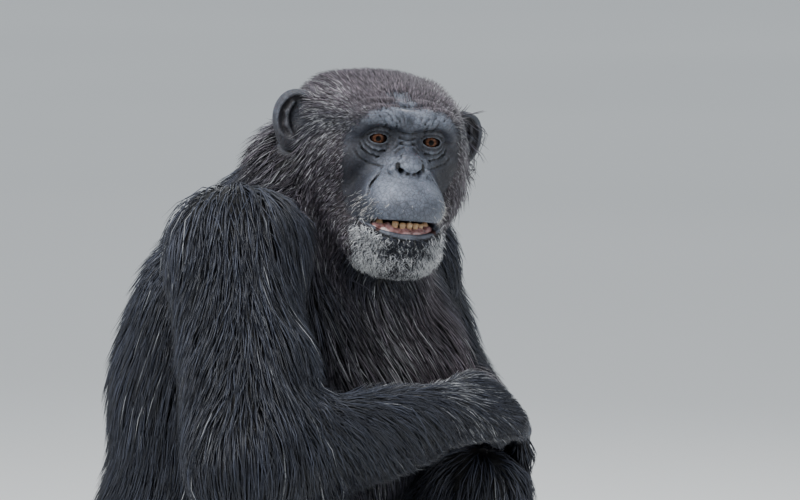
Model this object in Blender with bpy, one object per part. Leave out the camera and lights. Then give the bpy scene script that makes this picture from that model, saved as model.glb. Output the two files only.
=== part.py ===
"""A seated chimpanzee, life size, as a still museum model. Metres, +Z up.

The chest faces -Y and the animal's left is +X. The head is turned to its right.
Soft forms are clay stamped into a voxel field and meshed by OpenVDB, thinned by
Decimate, then parted from each other with Booleans.
"""

import math
import random

import bmesh
import bpy
import numpy as np
import openvdb
from mathutils import Matrix, Vector
from mathutils.bvhtree import BVHTree

# Joints of the seated pose, in metres.
NECK_BASE = (0.0, 0.005, 0.575)
HEAD_ORIGIN = (-0.0103, -0.1205, 0.704)
HEAD_TURN_DEG = -39.0
HEAD_ROLL_DEG = 5.5
HEAD_NOD_DEG = 2.0
SHOULDER = {"right": (-0.165, -0.055, 0.592), "left": (0.142, -0.026, 0.560)}
ELBOW = {"right": (-0.305, -0.162, 0.402), "left": (0.315, 0.044, 0.414)}
WRIST = {"right": (-0.046, -0.226, 0.432), "left": (0.160, -0.132, 0.402)}
HIP = {"right": (-0.082, 0.015, 0.115), "left": (0.082, -0.008, 0.120)}
KNEE = {"right": (-0.210, -0.188, 0.302), "left": (0.046, -0.198, 0.338)}
ANKLE = {"right": (-0.165, -0.330, 0.075), "left": (0.075, -0.222, 0.078)}

COAT = 0.007
GAP = 0.0003
CUT_GROWTH = 0.0004
LOCK_GROWTH = 0.00096
HEAD_GROWTH = 0.0008
TOUCH = 0.000002
ROUGH_GROWTH = 0.0016
FAR = 0.06
SIDES = {"right": -1.0, "left": 1.0}


def vec(*values):
    return np.array(values, np.float32)


def mixed(a, b, share):
    """The point at this share of the way from a to b."""
    return np.array(a, np.float32) * (1 - share) + np.array(b, np.float32) * share


# Clay: a block of distances in which soft forms are stamped, blended and carved.
class Clay:
    def __init__(self, low, high, voxel, place=None):
        self.low = np.array(low, np.float32)
        self.voxel = voxel
        counts = np.ceil((np.array(high) - np.array(low)) / voxel).astype(int) + 1
        self.field = np.full(counts, FAR, np.float32)
        self.place = place or Matrix.Identity(4)

    def window(self, low, high):
        """The slices and the points of the voxels between two corners."""
        first = np.floor((np.array(low) - self.low) / self.voxel).astype(int)
        last = np.ceil((np.array(high) - self.low) / self.voxel).astype(int) + 1
        first = np.clip(first, 0, self.field.shape)
        last = np.clip(last, 0, self.field.shape)
        slices = tuple(slice(a, b) for a, b in zip(first, last))
        axes = [
            self.low[i] + self.voxel * np.arange(first[i], last[i], dtype=np.float32)
            for i in range(3)
        ]
        points = np.stack(np.meshgrid(*axes, indexing="ij"), axis=-1)
        return slices, points

    def stamp(self, distance, low, high, blend=0.0, carve=False):
        """Adds or carves one form, with a soft edge as wide as blend."""
        margin = FAR * 0.6 + blend
        slices, points = self.window(np.array(low) - margin, np.array(high) + margin)
        if points.size == 0:
            return
        old = self.field[slices]
        new = distance(points)
        if carve:
            self.field[slices] = -soft_min(-old, new, blend)
        else:
            self.field[slices] = soft_min(old, new, blend)

    def ball(self, centre, radii, blend=0.0, turn=None, carve=False):
        """An ellipsoid, turned by a rotation matrix if one is given."""
        centre = np.array(centre, np.float32)
        radii = np.broadcast_to(np.array(radii, np.float32), (3,))
        spin = np.array(turn or Matrix.Identity(3), np.float32)
        reach = np.abs(spin) @ radii

        def distance(points):
            local = (points - centre) @ spin
            near = np.linalg.norm(local / radii, axis=-1)
            slope = np.linalg.norm(local / radii**2, axis=-1) + 1e-6
            return near * (near - 1.0) / slope

        self.stamp(distance, centre - reach, centre + reach, blend, carve)

    def limb(self, start, end, start_radius, end_radius, blend=0.0, carve=False):
        """A capsule that tapers between two points."""
        start, end = np.array(start, np.float32), np.array(end, np.float32)
        along = end - start
        size = max(start_radius, end_radius)

        def distance(points):
            offset = points - start
            share = np.clip(offset @ along / (along @ along), 0.0, 1.0)
            radius = start_radius + (end_radius - start_radius) * share
            return np.linalg.norm(offset - share[..., None] * along, axis=-1) - radius

        self.stamp(
            distance,
            np.minimum(start, end) - size,
            np.maximum(start, end) + size,
            blend,
            carve,
        )

    def chain(self, points, radii, blend=0.0, carve=False):
        """Capsules through several points."""
        for i in range(len(points) - 1):
            self.limb(points[i], points[i + 1], radii[i], radii[i + 1], blend, carve)

    def mesh(self, name):
        """The surface of the clay as a Blender mesh, in world space."""
        grid = openvdb.FloatGrid()
        grid.copyFromArray(self.field)
        points, triangles, quads = grid.convertToPolygons(isovalue=0.0, adaptivity=0.0)
        mesh = bpy.data.meshes.new(name)
        faces = triangles.tolist() + quads.tolist()
        mesh.from_pydata((points * self.voxel + self.low).tolist(), [], faces)
        mesh.transform(self.place)
        return mesh


def soft_min(a, b, blend):
    """The smaller of two distances, rounded where they are alike."""
    if blend <= 0.0:
        return np.minimum(a, b)
    share = np.clip(0.5 + 0.5 * (b - a) / blend, 0.0, 1.0)
    return b + (a - b) * share - blend * share * (1.0 - share)


# A grown copy of each piece, by its name, to cut its neighbours with.
SHADOWS = {}


# Scene helpers
def start_scene():
    for obj in list(bpy.data.objects):
        bpy.data.objects.remove(obj)
    parts = bpy.data.collections.new("Chimpanzee")
    cutters = bpy.data.collections.new("Cutters")
    bpy.context.scene.collection.children.link(parts)
    bpy.context.scene.collection.children.link(cutters)
    return parts, cutters


def finish_material(name, colour, roughness, specular=0.4):
    material = bpy.data.materials.new(name)
    material.use_nodes = True
    shader = material.node_tree.nodes["Principled BSDF"]
    shader.inputs["Base Color"].default_value = (*colour, 1.0)
    shader.inputs["Roughness"].default_value = roughness
    shader.inputs["Specular IOR Level"].default_value = specular
    material.diffuse_color = (*colour, 1.0)
    return material


def add_object(name, mesh, collection, material=None):
    obj = bpy.data.objects.new(name, mesh)
    collection.objects.link(obj)
    if material:
        mesh.materials.clear()
        mesh.materials.append(material)
    return obj


def applied(obj):
    """Replaces the object's mesh by its evaluated one and drops its modifiers."""
    graph = bpy.context.evaluated_depsgraph_get()
    graph.update()
    mesh = bpy.data.meshes.new_from_object(obj.evaluated_get(graph))
    obj.modifiers.clear()
    obj.data = mesh
    return obj


def thinned(obj, triangles):
    """Collapses edges until about this many triangles are left."""
    obj.data.calc_loop_triangles()
    count = len(obj.data.loop_triangles)
    if count > triangles:
        thin = obj.modifiers.new("Thin", "DECIMATE")
        thin.ratio = triangles / count
        applied(obj)
    return obj


def largest_piece(obj):
    """Keeps the largest closed surface and drops loose scraps."""
    work = bmesh.new()
    work.from_mesh(obj.data)
    bmesh.ops.triangulate(work, faces=work.faces[:])
    for vert in list(work.verts):
        if not vert.is_manifold:
            bmesh.utils.vert_separate(vert, [])
    work.verts.ensure_lookup_table()
    unseen = set(work.verts)
    islands = []
    while unseen:
        island = {unseen.pop()}
        edge_of_island = list(island)
        while edge_of_island:
            vert = edge_of_island.pop()
            for edge in vert.link_edges:
                other = edge.other_vert(vert)
                if other in unseen:
                    unseen.remove(other)
                    island.add(other)
                    edge_of_island.append(other)
        islands.append(island)
    islands.sort(key=spread, reverse=True)
    for island in islands[1:]:
        bmesh.ops.delete(work, geom=list(island), context="VERTS")
    work.to_mesh(obj.data)
    work.free()
    return obj


def eased(obj):
    """Draws surfaces that touch along an edge a hair's breadth apart."""
    work = bmesh.new()
    work.from_mesh(obj.data)
    work.normal_update()
    meeting = {}
    for vert in work.verts:
        key = tuple(round(value / TOUCH) for value in vert.co)
        meeting.setdefault(key, []).append(vert)
    for verts in meeting.values():
        if len(verts) > 1:
            for vert in verts:
                vert.co -= vert.normal * TOUCH * 20
    work.to_mesh(obj.data)
    work.free()
    return obj


def spread(island):
    """The size of the box round some vertices."""
    points = np.array([vert.co for vert in island])
    return float(np.prod(points.max(axis=0) - points.min(axis=0) + 1e-4))


def boolean(obj, other, operation, solver="MANIFOLD"):
    step = obj.modifiers.new(operation.title(), "BOOLEAN")
    step.operation = operation
    step.solver = solver
    step.object = other
    applied(obj)
    return obj


def grown(obj, collection, growth=CUT_GROWTH):
    """A hidden copy of an object, grown along its normals, to cut others with."""
    copy = add_object(obj.name + "_cutter", obj.data.copy(), collection)
    swell = copy.modifiers.new("Swell", "DISPLACE")
    swell.strength = growth
    swell.mid_level = 0.0
    applied(copy)
    copy.hide_render = True
    copy.display_type = "WIRE"
    return copy


def cut_clear(obj, others, collection, growth=CUT_GROWTH):
    """Cuts an object clear of others by the gap, and removes the cutters again."""
    for other in others:
        cutter = grown(other, collection, growth)
        boolean(obj, cutter, "DIFFERENCE")
        bpy.data.objects.remove(cutter)
    return largest_piece(obj)


def slab(point, normal, collection, size=0.6, thickness=GAP):
    """A thin square plate across a point, which parts a form in two."""
    mesh = bpy.data.meshes.new("Slab")
    work = bmesh.new()
    bmesh.ops.create_cube(work, size=1.0)
    bmesh.ops.scale(work, vec=(size, size, thickness), verts=work.verts)
    work.to_mesh(mesh)
    work.free()
    turn = Vector(normal).to_track_quat("Z", "Y").to_matrix().to_4x4()
    mesh.transform(Matrix.Translation(point) @ turn)
    obj = add_object("Slab", mesh, collection)
    obj.hide_render = True
    return obj


def half(obj, name, point, normal, parts, cutters, size=1.6):
    """The part of an object on the side that the normal points to, as a new object."""
    centre = Vector(point) + Vector(normal).normalized() * (size / 2 + GAP / 2)
    block = slab(centre, normal, cutters, size=size, thickness=size)
    piece = add_object(name, obj.data.copy(), parts)
    boolean(piece, block, "INTERSECT")
    bpy.data.objects.remove(block)
    return largest_piece(piece)


def split(obj, cuts, names, parts, cutters):
    """Parts a limb at its joints. Each cut is a point and the direction of the limb."""
    pieces = []
    rest = obj
    for (point, normal), name in zip(cuts, names):
        pieces.append(half(rest, name, point, -Vector(normal), parts, cutters))
        left = half(rest, names[-1], point, normal, parts, cutters)
        bpy.data.objects.remove(rest)
        rest = left
    rest.name = names[-1]
    pieces.append(rest)
    return pieces


# Locks of the long coat: flat, tapered, bent along the body, with their roots sunk in.
LOCK_SEED = 41
LOCK_STANDARD = 0.045
LOCK_RISE = (-0.0035, 0.0030, 0.0070, 0.0110)
LOCK_WIDTH = (0.75, 1.0, 0.70)
LOCK_THICKNESS = (0.0090, 0.0085, 0.0055)


def surface_tree(obj):
    work = bmesh.new()
    work.from_mesh(obj.data)
    tree = BVHTree.FromBMesh(work)
    work.free()
    return tree


def buried(point, trees, margin=0.006):
    """Whether a point lies inside another form or close to its surface."""
    ray = Vector((0.013, 0.021, 1.0)).normalized()
    for tree in trees:
        if tree.find_nearest(point)[3] < margin:
            return True
        hits = 0
        start = point
        while hits < 12:
            spot = tree.ray_cast(start, ray)[0]
            if spot is None:
                break
            hits += 1
            start = spot + ray * 1e-5
        if hits % 2:
            return True
    return False


def lock_path(tree, root, flow, length, cling):
    """Points, normals and across directions of a lock that lies along the surface."""
    spots = []
    point = Vector(root)
    steps = len(LOCK_RISE) - 1
    for i in range(steps + 1):
        near, normal, _, _ = tree.find_nearest(point)
        point = point.lerp(near, cling)
        along = Vector(flow(point, normal)).normalized()
        along = (along - normal * along.dot(normal) * cling).normalized()
        across = normal.cross(along).normalized()
        spots.append((point + normal * LOCK_RISE[i], across.cross(-along), across))
        point = point + along * (length / steps)
    return spots


def crosses(spots, width, trees):
    """Whether a lock would run into another form."""
    for point, _, across in spots:
        for share in (-0.45, 0.0, 0.45):
            if buried(point + across * width * share, trees, 0.004):
                return True
    return False


def lock_object(spots, width, thickness, collection, growth=0.0):
    """One lock of three sides. Growth makes a fatter one to cut neighbours with."""
    verts = []
    for i, (point, normal, across) in enumerate(spots[:-1]):
        half_width = width * LOCK_WIDTH[i] / 2 + growth * 5.5
        low = LOCK_THICKNESS[i] * thickness * 0.5 + growth
        high = LOCK_THICKNESS[i] * thickness * 0.5 + growth * 1.5
        if i == 0:
            point = point + (point - spots[1][0]).normalized() * growth
        verts.append(point + across * half_width - normal * low)
        verts.append(point - across * half_width - normal * low)
        verts.append(point + normal * high)
    tip = len(verts)
    last = spots[-1][0]
    verts.append(last + (last - spots[-2][0]).normalized() * growth * 6.0)
    faces = [(2, 1, 0)]
    for i in range(0, tip - 3, 3):
        for j in range(3):
            a, b = i + j, i + (j + 1) % 3
            faces += [(a, b, b + 3), (a, b + 3, a + 3)]
    for j in range(3):
        faces.append((tip - 3 + j, tip - 3 + (j + 1) % 3, tip))
    mesh = bpy.data.meshes.new("lock")
    mesh.from_pydata([tuple(vert) for vert in verts], [], faces)
    work = bmesh.new()
    work.from_mesh(mesh)
    bmesh.ops.recalc_face_normals(work, faces=work.faces[:])
    work.to_mesh(mesh)
    work.free()
    return add_object("lock", mesh, collection)


def with_locks(obj, roots, flow, size, others=(), seed=1, cling=1.0, whole=None):
    """Grows locks from the given roots and joins them to the object as one body.

    The locks follow the surface of the whole limb or trunk where one is given.
    """
    draw = random.Random(seed)
    tree = whole or surface_tree(obj)
    trees = [surface_tree(other) for other in others]
    length, width = size
    locks = []
    for root in roots:
        if buried(Vector(root), trees):
            continue
        reach = length * draw.uniform(0.85, 1.12)
        spots = lock_path(tree, root, flow, reach, cling)
        if spots[-1][0].z < 0.012 or crosses(spots, width, trees):
            continue
        locks.append((spots, width * draw.uniform(0.88, 1.12), width / LOCK_STANDARD))
    join_locks(obj, locks, 0.0)
    join_locks(SHADOWS[obj.name], locks, LOCK_GROWTH)
    return largest_piece(obj)


def join_locks(obj, locks, growth):
    """Joins locks to an object by one union."""
    tuft = bpy.data.collections.new("Locks")
    bpy.context.scene.collection.children.link(tuft)
    for spots, width, thickness in locks:
        lock_object(spots, width, thickness, tuft, growth)
    if locks:
        join = obj.modifiers.new("Join", "BOOLEAN")
        join.operation = "UNION"
        join.operand_type = "COLLECTION"
        join.collection = tuft
        join.solver = "MANIFOLD"
        applied(obj)
    for item in list(tuft.objects):
        bpy.data.objects.remove(item)
    bpy.data.collections.remove(tuft)


def roots_round(obj, start, end, shares, angles, stagger=0.5):
    """Points where rays that leave an axis sideways meet the object's surface."""
    tree = surface_tree(obj)
    start, end = Vector(start), Vector(end)
    axis = (end - start).normalized()
    side = axis.cross(Vector((0, 1, 0.01))).normalized()
    front = side.cross(axis)
    step = math.radians(angles[1] - angles[0])
    roots = []
    for i, share in enumerate(shares):
        for angle in angles:
            turn = math.radians(angle) + step * stagger * (i % 2)
            ray = front * math.cos(turn) + side * math.sin(turn)
            spot, normal, _, _ = tree.ray_cast(start + (end - start) * share, ray)
            if spot and abs(normal.dot(axis)) < 0.7:
                roots.append(spot)
    return roots


# Head, in its own frame: the face looks along -Y, the eyes are level with the origin.
def head_place():
    turn = Matrix.Rotation(math.radians(HEAD_TURN_DEG), 4, "Z")
    roll = Matrix.Rotation(math.radians(HEAD_ROLL_DEG), 4, "Y")
    nod = Matrix.Rotation(math.radians(HEAD_NOD_DEG), 4, "X")
    return Matrix.Translation(HEAD_ORIGIN) @ turn @ roll @ nod


EYE = (0.0272, -0.0750, 0.0)
EYE_RADIUS = 0.0112
EYE_ROOM = 0.0010
EAR = (0.082, 0.006, 0.003)
MOUTH = (0.0, -0.108, -0.0810)
MOUTH_RADII = (0.0365, 0.034, 0.0085)
JAW_ARC = [
    (0.0385, -0.094, -0.0815),
    (0.0320, -0.110, -0.0870),
    (0.0180, -0.1225, -0.0912),
    (0.0, -0.1270, -0.0925),
]


def both_sides(points):
    """An arc given from its left end to the middle, mirrored to its right end."""
    return points + [(-x, y, z) for x, y, z in reversed(points[:-1])]


def head_clay(voxel, coat):
    clay = Clay((-0.11, -0.165, -0.15), (0.11, 0.115, 0.09), voxel, head_place())
    hair = coat * 0.7
    clay.ball((0, -0.006, 0.002), (0.061 + hair, 0.076 + hair, 0.050 + hair))
    clay.ball((0, 0.034, -0.026), (0.058 + hair, 0.046 + hair, 0.054), 0.03)
    clay.limb((0, 0.018, -0.055), (0, 0.036, -0.105), 0.056, 0.050, 0.03)
    for side in (-1.0, 1.0):
        clay.ball((side * 0.047, -0.022, -0.020), (0.031 + hair, 0.050, 0.056), 0.02)
        clay.ball((side * 0.045, -0.056, -0.018), (0.016, 0.024, 0.016), 0.018)
        clay.limb(
            (side * 0.050, 0.002, -0.050),
            (side * 0.030, -0.076, -0.102),
            0.027 + hair,
            0.020,
            0.024,
        )
    clay.ball((0, -0.060, -0.012), (0.047, 0.030, 0.036), 0.012)
    clay.limb((0, -0.060, -0.022), (0, -0.080, -0.048), 0.021, 0.032, 0.018)
    clay.ball((0, -0.070, -0.102), (0.034, 0.045, 0.020), 0.018)
    clay.ball((0, -0.084, -0.062), (0.043, 0.050, 0.031), 0.016)
    clay.ball((0, -0.105, -0.060), (0.037, 0.036, 0.0205), 0.014)
    ridge = [
        (0.0510, -0.062, -0.014),
        (0.0525, -0.068, 0.000),
        (0.0465, -0.079, 0.0125),
        (0.0340, -0.0885, 0.0205),
        (0.0170, -0.0925, 0.0215),
        (0.0, -0.0910, 0.0185),
    ]
    half_sizes = [0.0045, 0.0065, 0.0085, 0.0095, 0.0095, 0.0090]
    clay.chain(both_sides(ridge), half_sizes + half_sizes[-2::-1], 0.012)
    for side in (-1.0, 1.0):
        socket = (side * EYE[0], EYE[1] - 0.020, EYE[2] - 0.001)
        clay.ball(socket, (0.0165, 0.0130, 0.0115), 0.008, carve=True)
    for side in (-1.0, 1.0):
        eye = (side * EYE[0], EYE[1], EYE[2])
        clay.ball(eye, EYE_RADIUS + 0.0030, 0.0030)
        slit = (side * EYE[0], EYE[1] - 0.014, EYE[2] - 0.0002)
        clay.ball(slit, (0.0100, 0.0135, 0.0046), 0.0012, carve=True)
        clay.ball(eye, EYE_RADIUS + EYE_ROOM, 0.0, carve=True)
    clay.limb((0, -0.082, -0.004), (0, -0.101, -0.024), 0.006, 0.0105, 0.012)
    clay.ball((0, -0.1080, -0.0280), (0.0150, 0.0085, 0.0070), 0.007)
    for side in (-1.0, 1.0):
        clay.ball((side * 0.0105, -0.1075, -0.0315), (0.0075, 0.0080, 0.0062), 0.004)
        clay.limb(
            (side * 0.0065, -0.122, -0.0370),
            (side * 0.0055, -0.103, -0.0275),
            0.0036,
            0.0030,
            0.0015,
            carve=True,
        )
    clay.ball((0, -0.096, -0.106), (0.034, 0.027, 0.026), 0.016)
    lip_sizes = [0.0045, 0.0052, 0.0056, 0.0056]
    clay.chain(both_sides(JAW_ARC), lip_sizes + lip_sizes[-2::-1], 0.006)
    clay.ball(MOUTH, MOUTH_RADII, 0.003, carve=True)
    clay.ball((0, -0.094, -0.0850), (0.034, 0.027, 0.0125), 0.003, carve=True)
    corner = [(0.030, -0.1125, -0.0805), (0.0425, -0.094, -0.0800)]
    for side in (-1.0, 1.0):
        line = [(side * x, y, z) for x, y, z in corner]
        clay.chain(line, [0.0035, 0.0016], 0.003, carve=True)
    return clay


GUM_ARC = [
    (0.0270, -0.0905, -0.0895),
    (0.0225, -0.1020, -0.0895),
    (0.0120, -0.1110, -0.0895),
    (0.0, -0.1140, -0.0895),
]
GUM_RADIUS = 0.0065
TOOTH_FOOT = -0.0845
TEETH = [
    (0.0028, -0.1150, 0.0031, 0.0076),
    (0.0085, -0.1138, 0.0032, 0.0078),
    (0.0145, -0.1105, 0.0034, 0.0078),
    (0.0220, -0.1040, 0.0042, 0.0098),
]


def gum_clay(voxel):
    """The lower gum with its front teeth, which the open mouth shows."""
    clay = Clay((-0.045, -0.135, -0.105), (0.045, -0.070, -0.065), voxel, head_place())
    clay.chain(both_sides(GUM_ARC), [GUM_RADIUS] * (2 * len(GUM_ARC) - 1), 0.004)
    for x, y, half_width, height in TEETH:
        for side in (-1.0, 1.0):
            foot = (side * x, y, TOOTH_FOOT)
            tip = (side * x * 0.98, y - 0.0015, TOOTH_FOOT + height - half_width * 0.6)
            clay.limb(foot, tip, half_width, half_width * 0.62, 0.0004)
    return clay


def ear_clay(voxel, side):
    """A broad cupped ear that stands out from the head and faces forward."""
    clay = Clay((-0.045, -0.04, -0.05), (0.045, 0.04, 0.05), voxel)
    clay.place = head_place() @ ear_place(side)
    clay.ball((0.002 * side, 0, 0), (0.0215, 0.0085, 0.0315))
    clay.ball((0.010 * side, -0.003, 0.006), (0.0175, 0.0075, 0.0235), 0.006)
    clay.limb((-0.016 * side, 0.002, -0.004), (-0.026 * side, 0.002, -0.002), 0.010, 0.011, 0.008)
    clay.ball((0.003 * side, -0.0085, 0.004), (0.0155, 0.0085, 0.0215), 0.003, carve=True)
    clay.ball((-0.008 * side, -0.008, -0.010), (0.008, 0.009, 0.010), 0.003, carve=True)
    return clay


def ear_place(side):
    """The ear's own frame: its plate spans X and Z, and its cup opens to -Y."""
    spot = Matrix.Translation((side * EAR[0], EAR[1], EAR[2]))
    swing = Matrix.Rotation(math.radians(26.0 * side), 4, "Z")
    lean = Matrix.Rotation(math.radians(14.0 * side), 4, "Y")
    return spot @ swing @ lean


# Trunk and limbs
def trunk_clay(voxel, coat):
    clay = Clay((-0.26, -0.24, -0.03), (0.26, 0.28, 0.74), voxel)
    clay.ball((0, 0.068, 0.110), (0.130 + coat, 0.122 + coat, 0.110), 0.0)
    for side in (-1.0, 1.0):
        clay.ball((side * 0.070, 0.080, 0.085), (0.082 + coat, 0.100 + coat, 0.092), 0.03)
    clay.ball((0, 0.045, 0.270), (0.146 + coat, 0.158 + coat, 0.150), 0.05)
    clay.ball((0, 0.010, 0.435), (0.150 + coat, 0.168 + coat, 0.152 + coat), 0.05)
    clay.ball((0, 0.034, 0.525), (0.136 + coat, 0.094 + coat, 0.090), 0.04)
    clay.limb(
        SHOULDER["right"], SHOULDER["left"], 0.048 + coat, 0.048 + coat, 0.05
    )
    for side in (-1.0, 1.0):
        clay.ball((side * 0.066, -0.074, 0.510), (0.064, 0.050 + coat, 0.060), 0.03)
    clay.ball((0.070, -0.098, 0.450), (0.062, 0.056 + coat, 0.070), 0.03)
    clay.limb(NECK_BASE, (-0.010, -0.080, 0.655), 0.078 + coat, 0.068 + coat, 0.05)
    clay.limb((0, 0.028, 0.575), (-0.006, -0.055, 0.665), 0.056, 0.046 + coat, 0.04)
    clay.limb((-0.004, -0.095, 0.560), (-0.028, -0.128, 0.618), 0.054, 0.044, 0.04)
    clay.ball((-0.048, -0.036, 0.676), 0.028 + coat, 0.03)
    clay.ball((0.034, -0.030, 0.662), 0.028 + coat, 0.03)
    return clay


def arm_clay(side, voxel, coat):
    shoulder, elbow, wrist = SHOULDER[side], ELBOW[side], WRIST[side]
    corners = np.array([shoulder, elbow, wrist])
    clay = Clay(corners.min(axis=0) - 0.12, corners.max(axis=0) + 0.12, voxel)
    hair = coat
    clay.ball(shoulder, (0.062 + hair, 0.062 + hair, 0.064 + hair))
    clay.limb(shoulder, elbow, 0.056 + hair, 0.046 + hair, 0.03)
    front = np.array(mixed(wrist, elbow, 0.5)) - np.array(mixed(shoulder, elbow, 0.5))
    front = front / np.linalg.norm(front)
    biceps = mixed(shoulder, elbow, 0.50) + 0.026 * front
    clay.ball(biceps, 0.050 + hair, 0.03)
    clay.ball(mixed(shoulder, elbow, 0.80) + 0.020 * front, 0.046 + hair, 0.03)
    clay.ball(elbow, 0.040 + hair, 0.02)
    clay.chain(
        [elbow, mixed(elbow, wrist, 0.30), mixed(elbow, wrist, 0.70), wrist],
        [0.044 + hair, 0.046 + hair, 0.035 + hair, 0.026 + hair * 0.6],
        0.02,
    )
    return clay


def leg_clay(side, voxel, coat):
    hip, knee, ankle = HIP[side], KNEE[side], ANKLE[side]
    corners = np.array([hip, knee, ankle])
    clay = Clay(corners.min(axis=0) - 0.13, corners.max(axis=0) + 0.13, voxel)
    clay.chain(
        [hip, mixed(hip, knee, 0.45), knee],
        [0.078 + coat, 0.072 + coat, 0.048 + coat],
        0.02,
    )
    clay.ball(knee, 0.047 + coat * 0.7, 0.015)
    back = vec(0, 0.022, 0)
    clay.chain(
        [knee, mixed(knee, ankle, 0.32) + back, mixed(knee, ankle, 0.75), ankle],
        [0.042 + coat, 0.044 + coat, 0.031 + coat, 0.027 + coat * 0.5],
        0.02,
    )
    return clay


# Hands and feet. Each finger is a chain of named joints.
FINGER_RADIUS = 0.0095


def hand_clay(side, voxel):
    wrist = vec(*WRIST[side])
    if side == "right":
        knuckles = vec(0.036, -0.228, 0.436)
        palm_across = Vector((0.22, -0.72, -0.62)).normalized()
        curl = [vec(0.036, 0.010, -0.014), vec(0.016, 0.010, -0.028), vec(0.000, 0.006, -0.021)]
        thumb = [(0.03, 0.30), vec(0.030, -0.018, -0.022), vec(0.020, -0.006, -0.020)]
    else:
        knuckles = vec(0.106, -0.160, 0.392)
        palm_across = Vector((-0.52, 0.42, -0.30)).normalized()
        curl = [vec(-0.022, -0.020, -0.018), vec(-0.006, 0.000, -0.026), vec(0.006, 0.012, -0.016)]
        thumb = [(0.03, 0.30), vec(-0.026, -0.012, -0.010), vec(-0.016, -0.016, -0.004)]
    across = vec(*palm_across)
    low = np.minimum(wrist, knuckles) - 0.11
    high = np.maximum(wrist, knuckles) + 0.11
    clay = Clay(low, high, voxel)
    back = wrist - (knuckles - wrist) * 0.25
    clay.limb(back, wrist, 0.024, 0.023)
    for i in range(4):
        place = (i - 1.5) / 1.5
        knuckle = knuckles + across * 0.028 * place
        knuckle = knuckle - (knuckles - wrist) * 0.10 * place**2
        root = wrist + across * 0.014 * place
        clay.limb(root, knuckle, 0.0155, 0.0125, 0.012)
        size = FINGER_RADIUS * (1.0 if i < 3 else 0.88)
        spot = knuckle
        stretch = (0.94, 1.06, 1.0, 0.82)[i]
        for j, step in enumerate(curl):
            after = spot + step * stretch
            clay.limb(spot, after, size * (1.08 - 0.08 * j), size * (1.0 - 0.08 * j), 0.003)
            spot = after
    spot = mixed(wrist, knuckles, 0.30) - across * 0.020
    for j, step in enumerate(thumb[1:]):
        after = spot + step
        clay.limb(spot, after, 0.0105 - 0.001 * j, 0.0095 - 0.001 * j, 0.006)
        spot = after
    return clay


FOOT_TURN_DEG = {"right": -12.0, "left": 16.0}


def foot_clay(side, voxel):
    sign = SIDES[side]
    place = Matrix.Translation((ANKLE[side][0], ANKLE[side][1], 0.0)) @ Matrix.Rotation(
        math.radians(FOOT_TURN_DEG[side]), 4, "Z"
    )
    clay = Clay((-0.08, -0.21, -0.02), (0.08, 0.09, 0.14), voxel, place)
    ankle_height = ANKLE[side][2]
    clay.limb((0, 0, ankle_height + 0.03), (0, 0.004, ankle_height), 0.029, 0.028)
    clay.limb((0, 0.004, ankle_height), (0, 0.026, 0.026), 0.027, 0.028, 0.015)
    clay.limb((0, -0.010, 0.052), (0, -0.095, 0.026), 0.030, 0.020, 0.015)
    for i in range(4):
        place_share = (i - 1.5) / 1.5
        start = vec(sign * 0.024 * place_share + sign * 0.004, -0.082, 0.020)
        mid = start + vec(sign * 0.004 * place_share, -0.036, 0.005)
        tip = mid + vec(0, -0.030 + 0.006 * abs(place_share), -0.011)
        clay.limb((sign * 0.010 * place_share, -0.02, 0.026), start, 0.018, 0.0135, 0.012)
        clay.limb(start, mid, 0.0115, 0.0105, 0.004)
        clay.limb(mid, tip, 0.0100, 0.0092, 0.003)
    clay.limb((-sign * 0.012, -0.020, 0.026), (-sign * 0.038, -0.060, 0.018), 0.020, 0.015, 0.012)
    clay.limb((-sign * 0.038, -0.060, 0.018), (-sign * 0.052, -0.098, 0.013), 0.0135, 0.0115, 0.006)
    return clay


def eyeball(side):
    mesh = bpy.data.meshes.new("eye")
    work = bmesh.new()
    bmesh.ops.create_uvsphere(work, u_segments=14, v_segments=8, radius=EYE_RADIUS)
    work.to_mesh(mesh)
    work.free()
    spot = Matrix.Translation((side * EYE[0], EYE[1], EYE[2]))
    mesh.transform(head_place() @ spot @ Matrix.Rotation(math.radians(90), 4, "X"))
    return mesh


def bend_plane(start, middle, end):
    """The direction across which a bent limb is parted at its middle joint."""
    first = (Vector(middle) - Vector(start)).normalized()
    second = (Vector(end) - Vector(middle)).normalized()
    return (first + second).normalized()


def boxes_meet(a, b, margin=0.002):
    def box(obj):
        points = np.array([vert.co for vert in obj.data.vertices])
        return points.min(axis=0) - margin, points.max(axis=0) + margin

    low_a, high_a = box(a)
    low_b, high_b = box(b)
    return bool(np.all(low_a < high_b) and np.all(low_b < high_a))


def above_floor(obj, cutters):
    """Cuts away what lies under the floor, which leaves a flat to sit on."""
    block = slab((0, 0, -0.5), (0, 0, 1), cutters, size=2.0, thickness=1.0)
    boolean(obj, block, "DIFFERENCE")
    bpy.data.objects.remove(block)
    return largest_piece(obj)


def head_roots(head, spans):
    """Roots on the head at a bearing from the face and a height, in degrees."""
    tree = surface_tree(head)
    place = head_place()
    centre = place @ Vector((0, -0.030, -0.030))
    roots = []
    for bearing, height in spans:
        a, b = math.radians(bearing), math.radians(height)
        ray = Vector((math.sin(a) * math.cos(b), -math.cos(a) * math.cos(b), math.sin(b)))
        spot = tree.ray_cast(centre, place.to_3x3() @ ray)[0]
        if spot:
            roots.append(spot)
    return roots


def head_flow(back, down):
    """The hair's lie on the head: away from the face, and down."""
    turn = head_place().to_3x3()
    direction = turn @ Vector((0, back, -down))
    return lambda point, normal: direction


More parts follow.
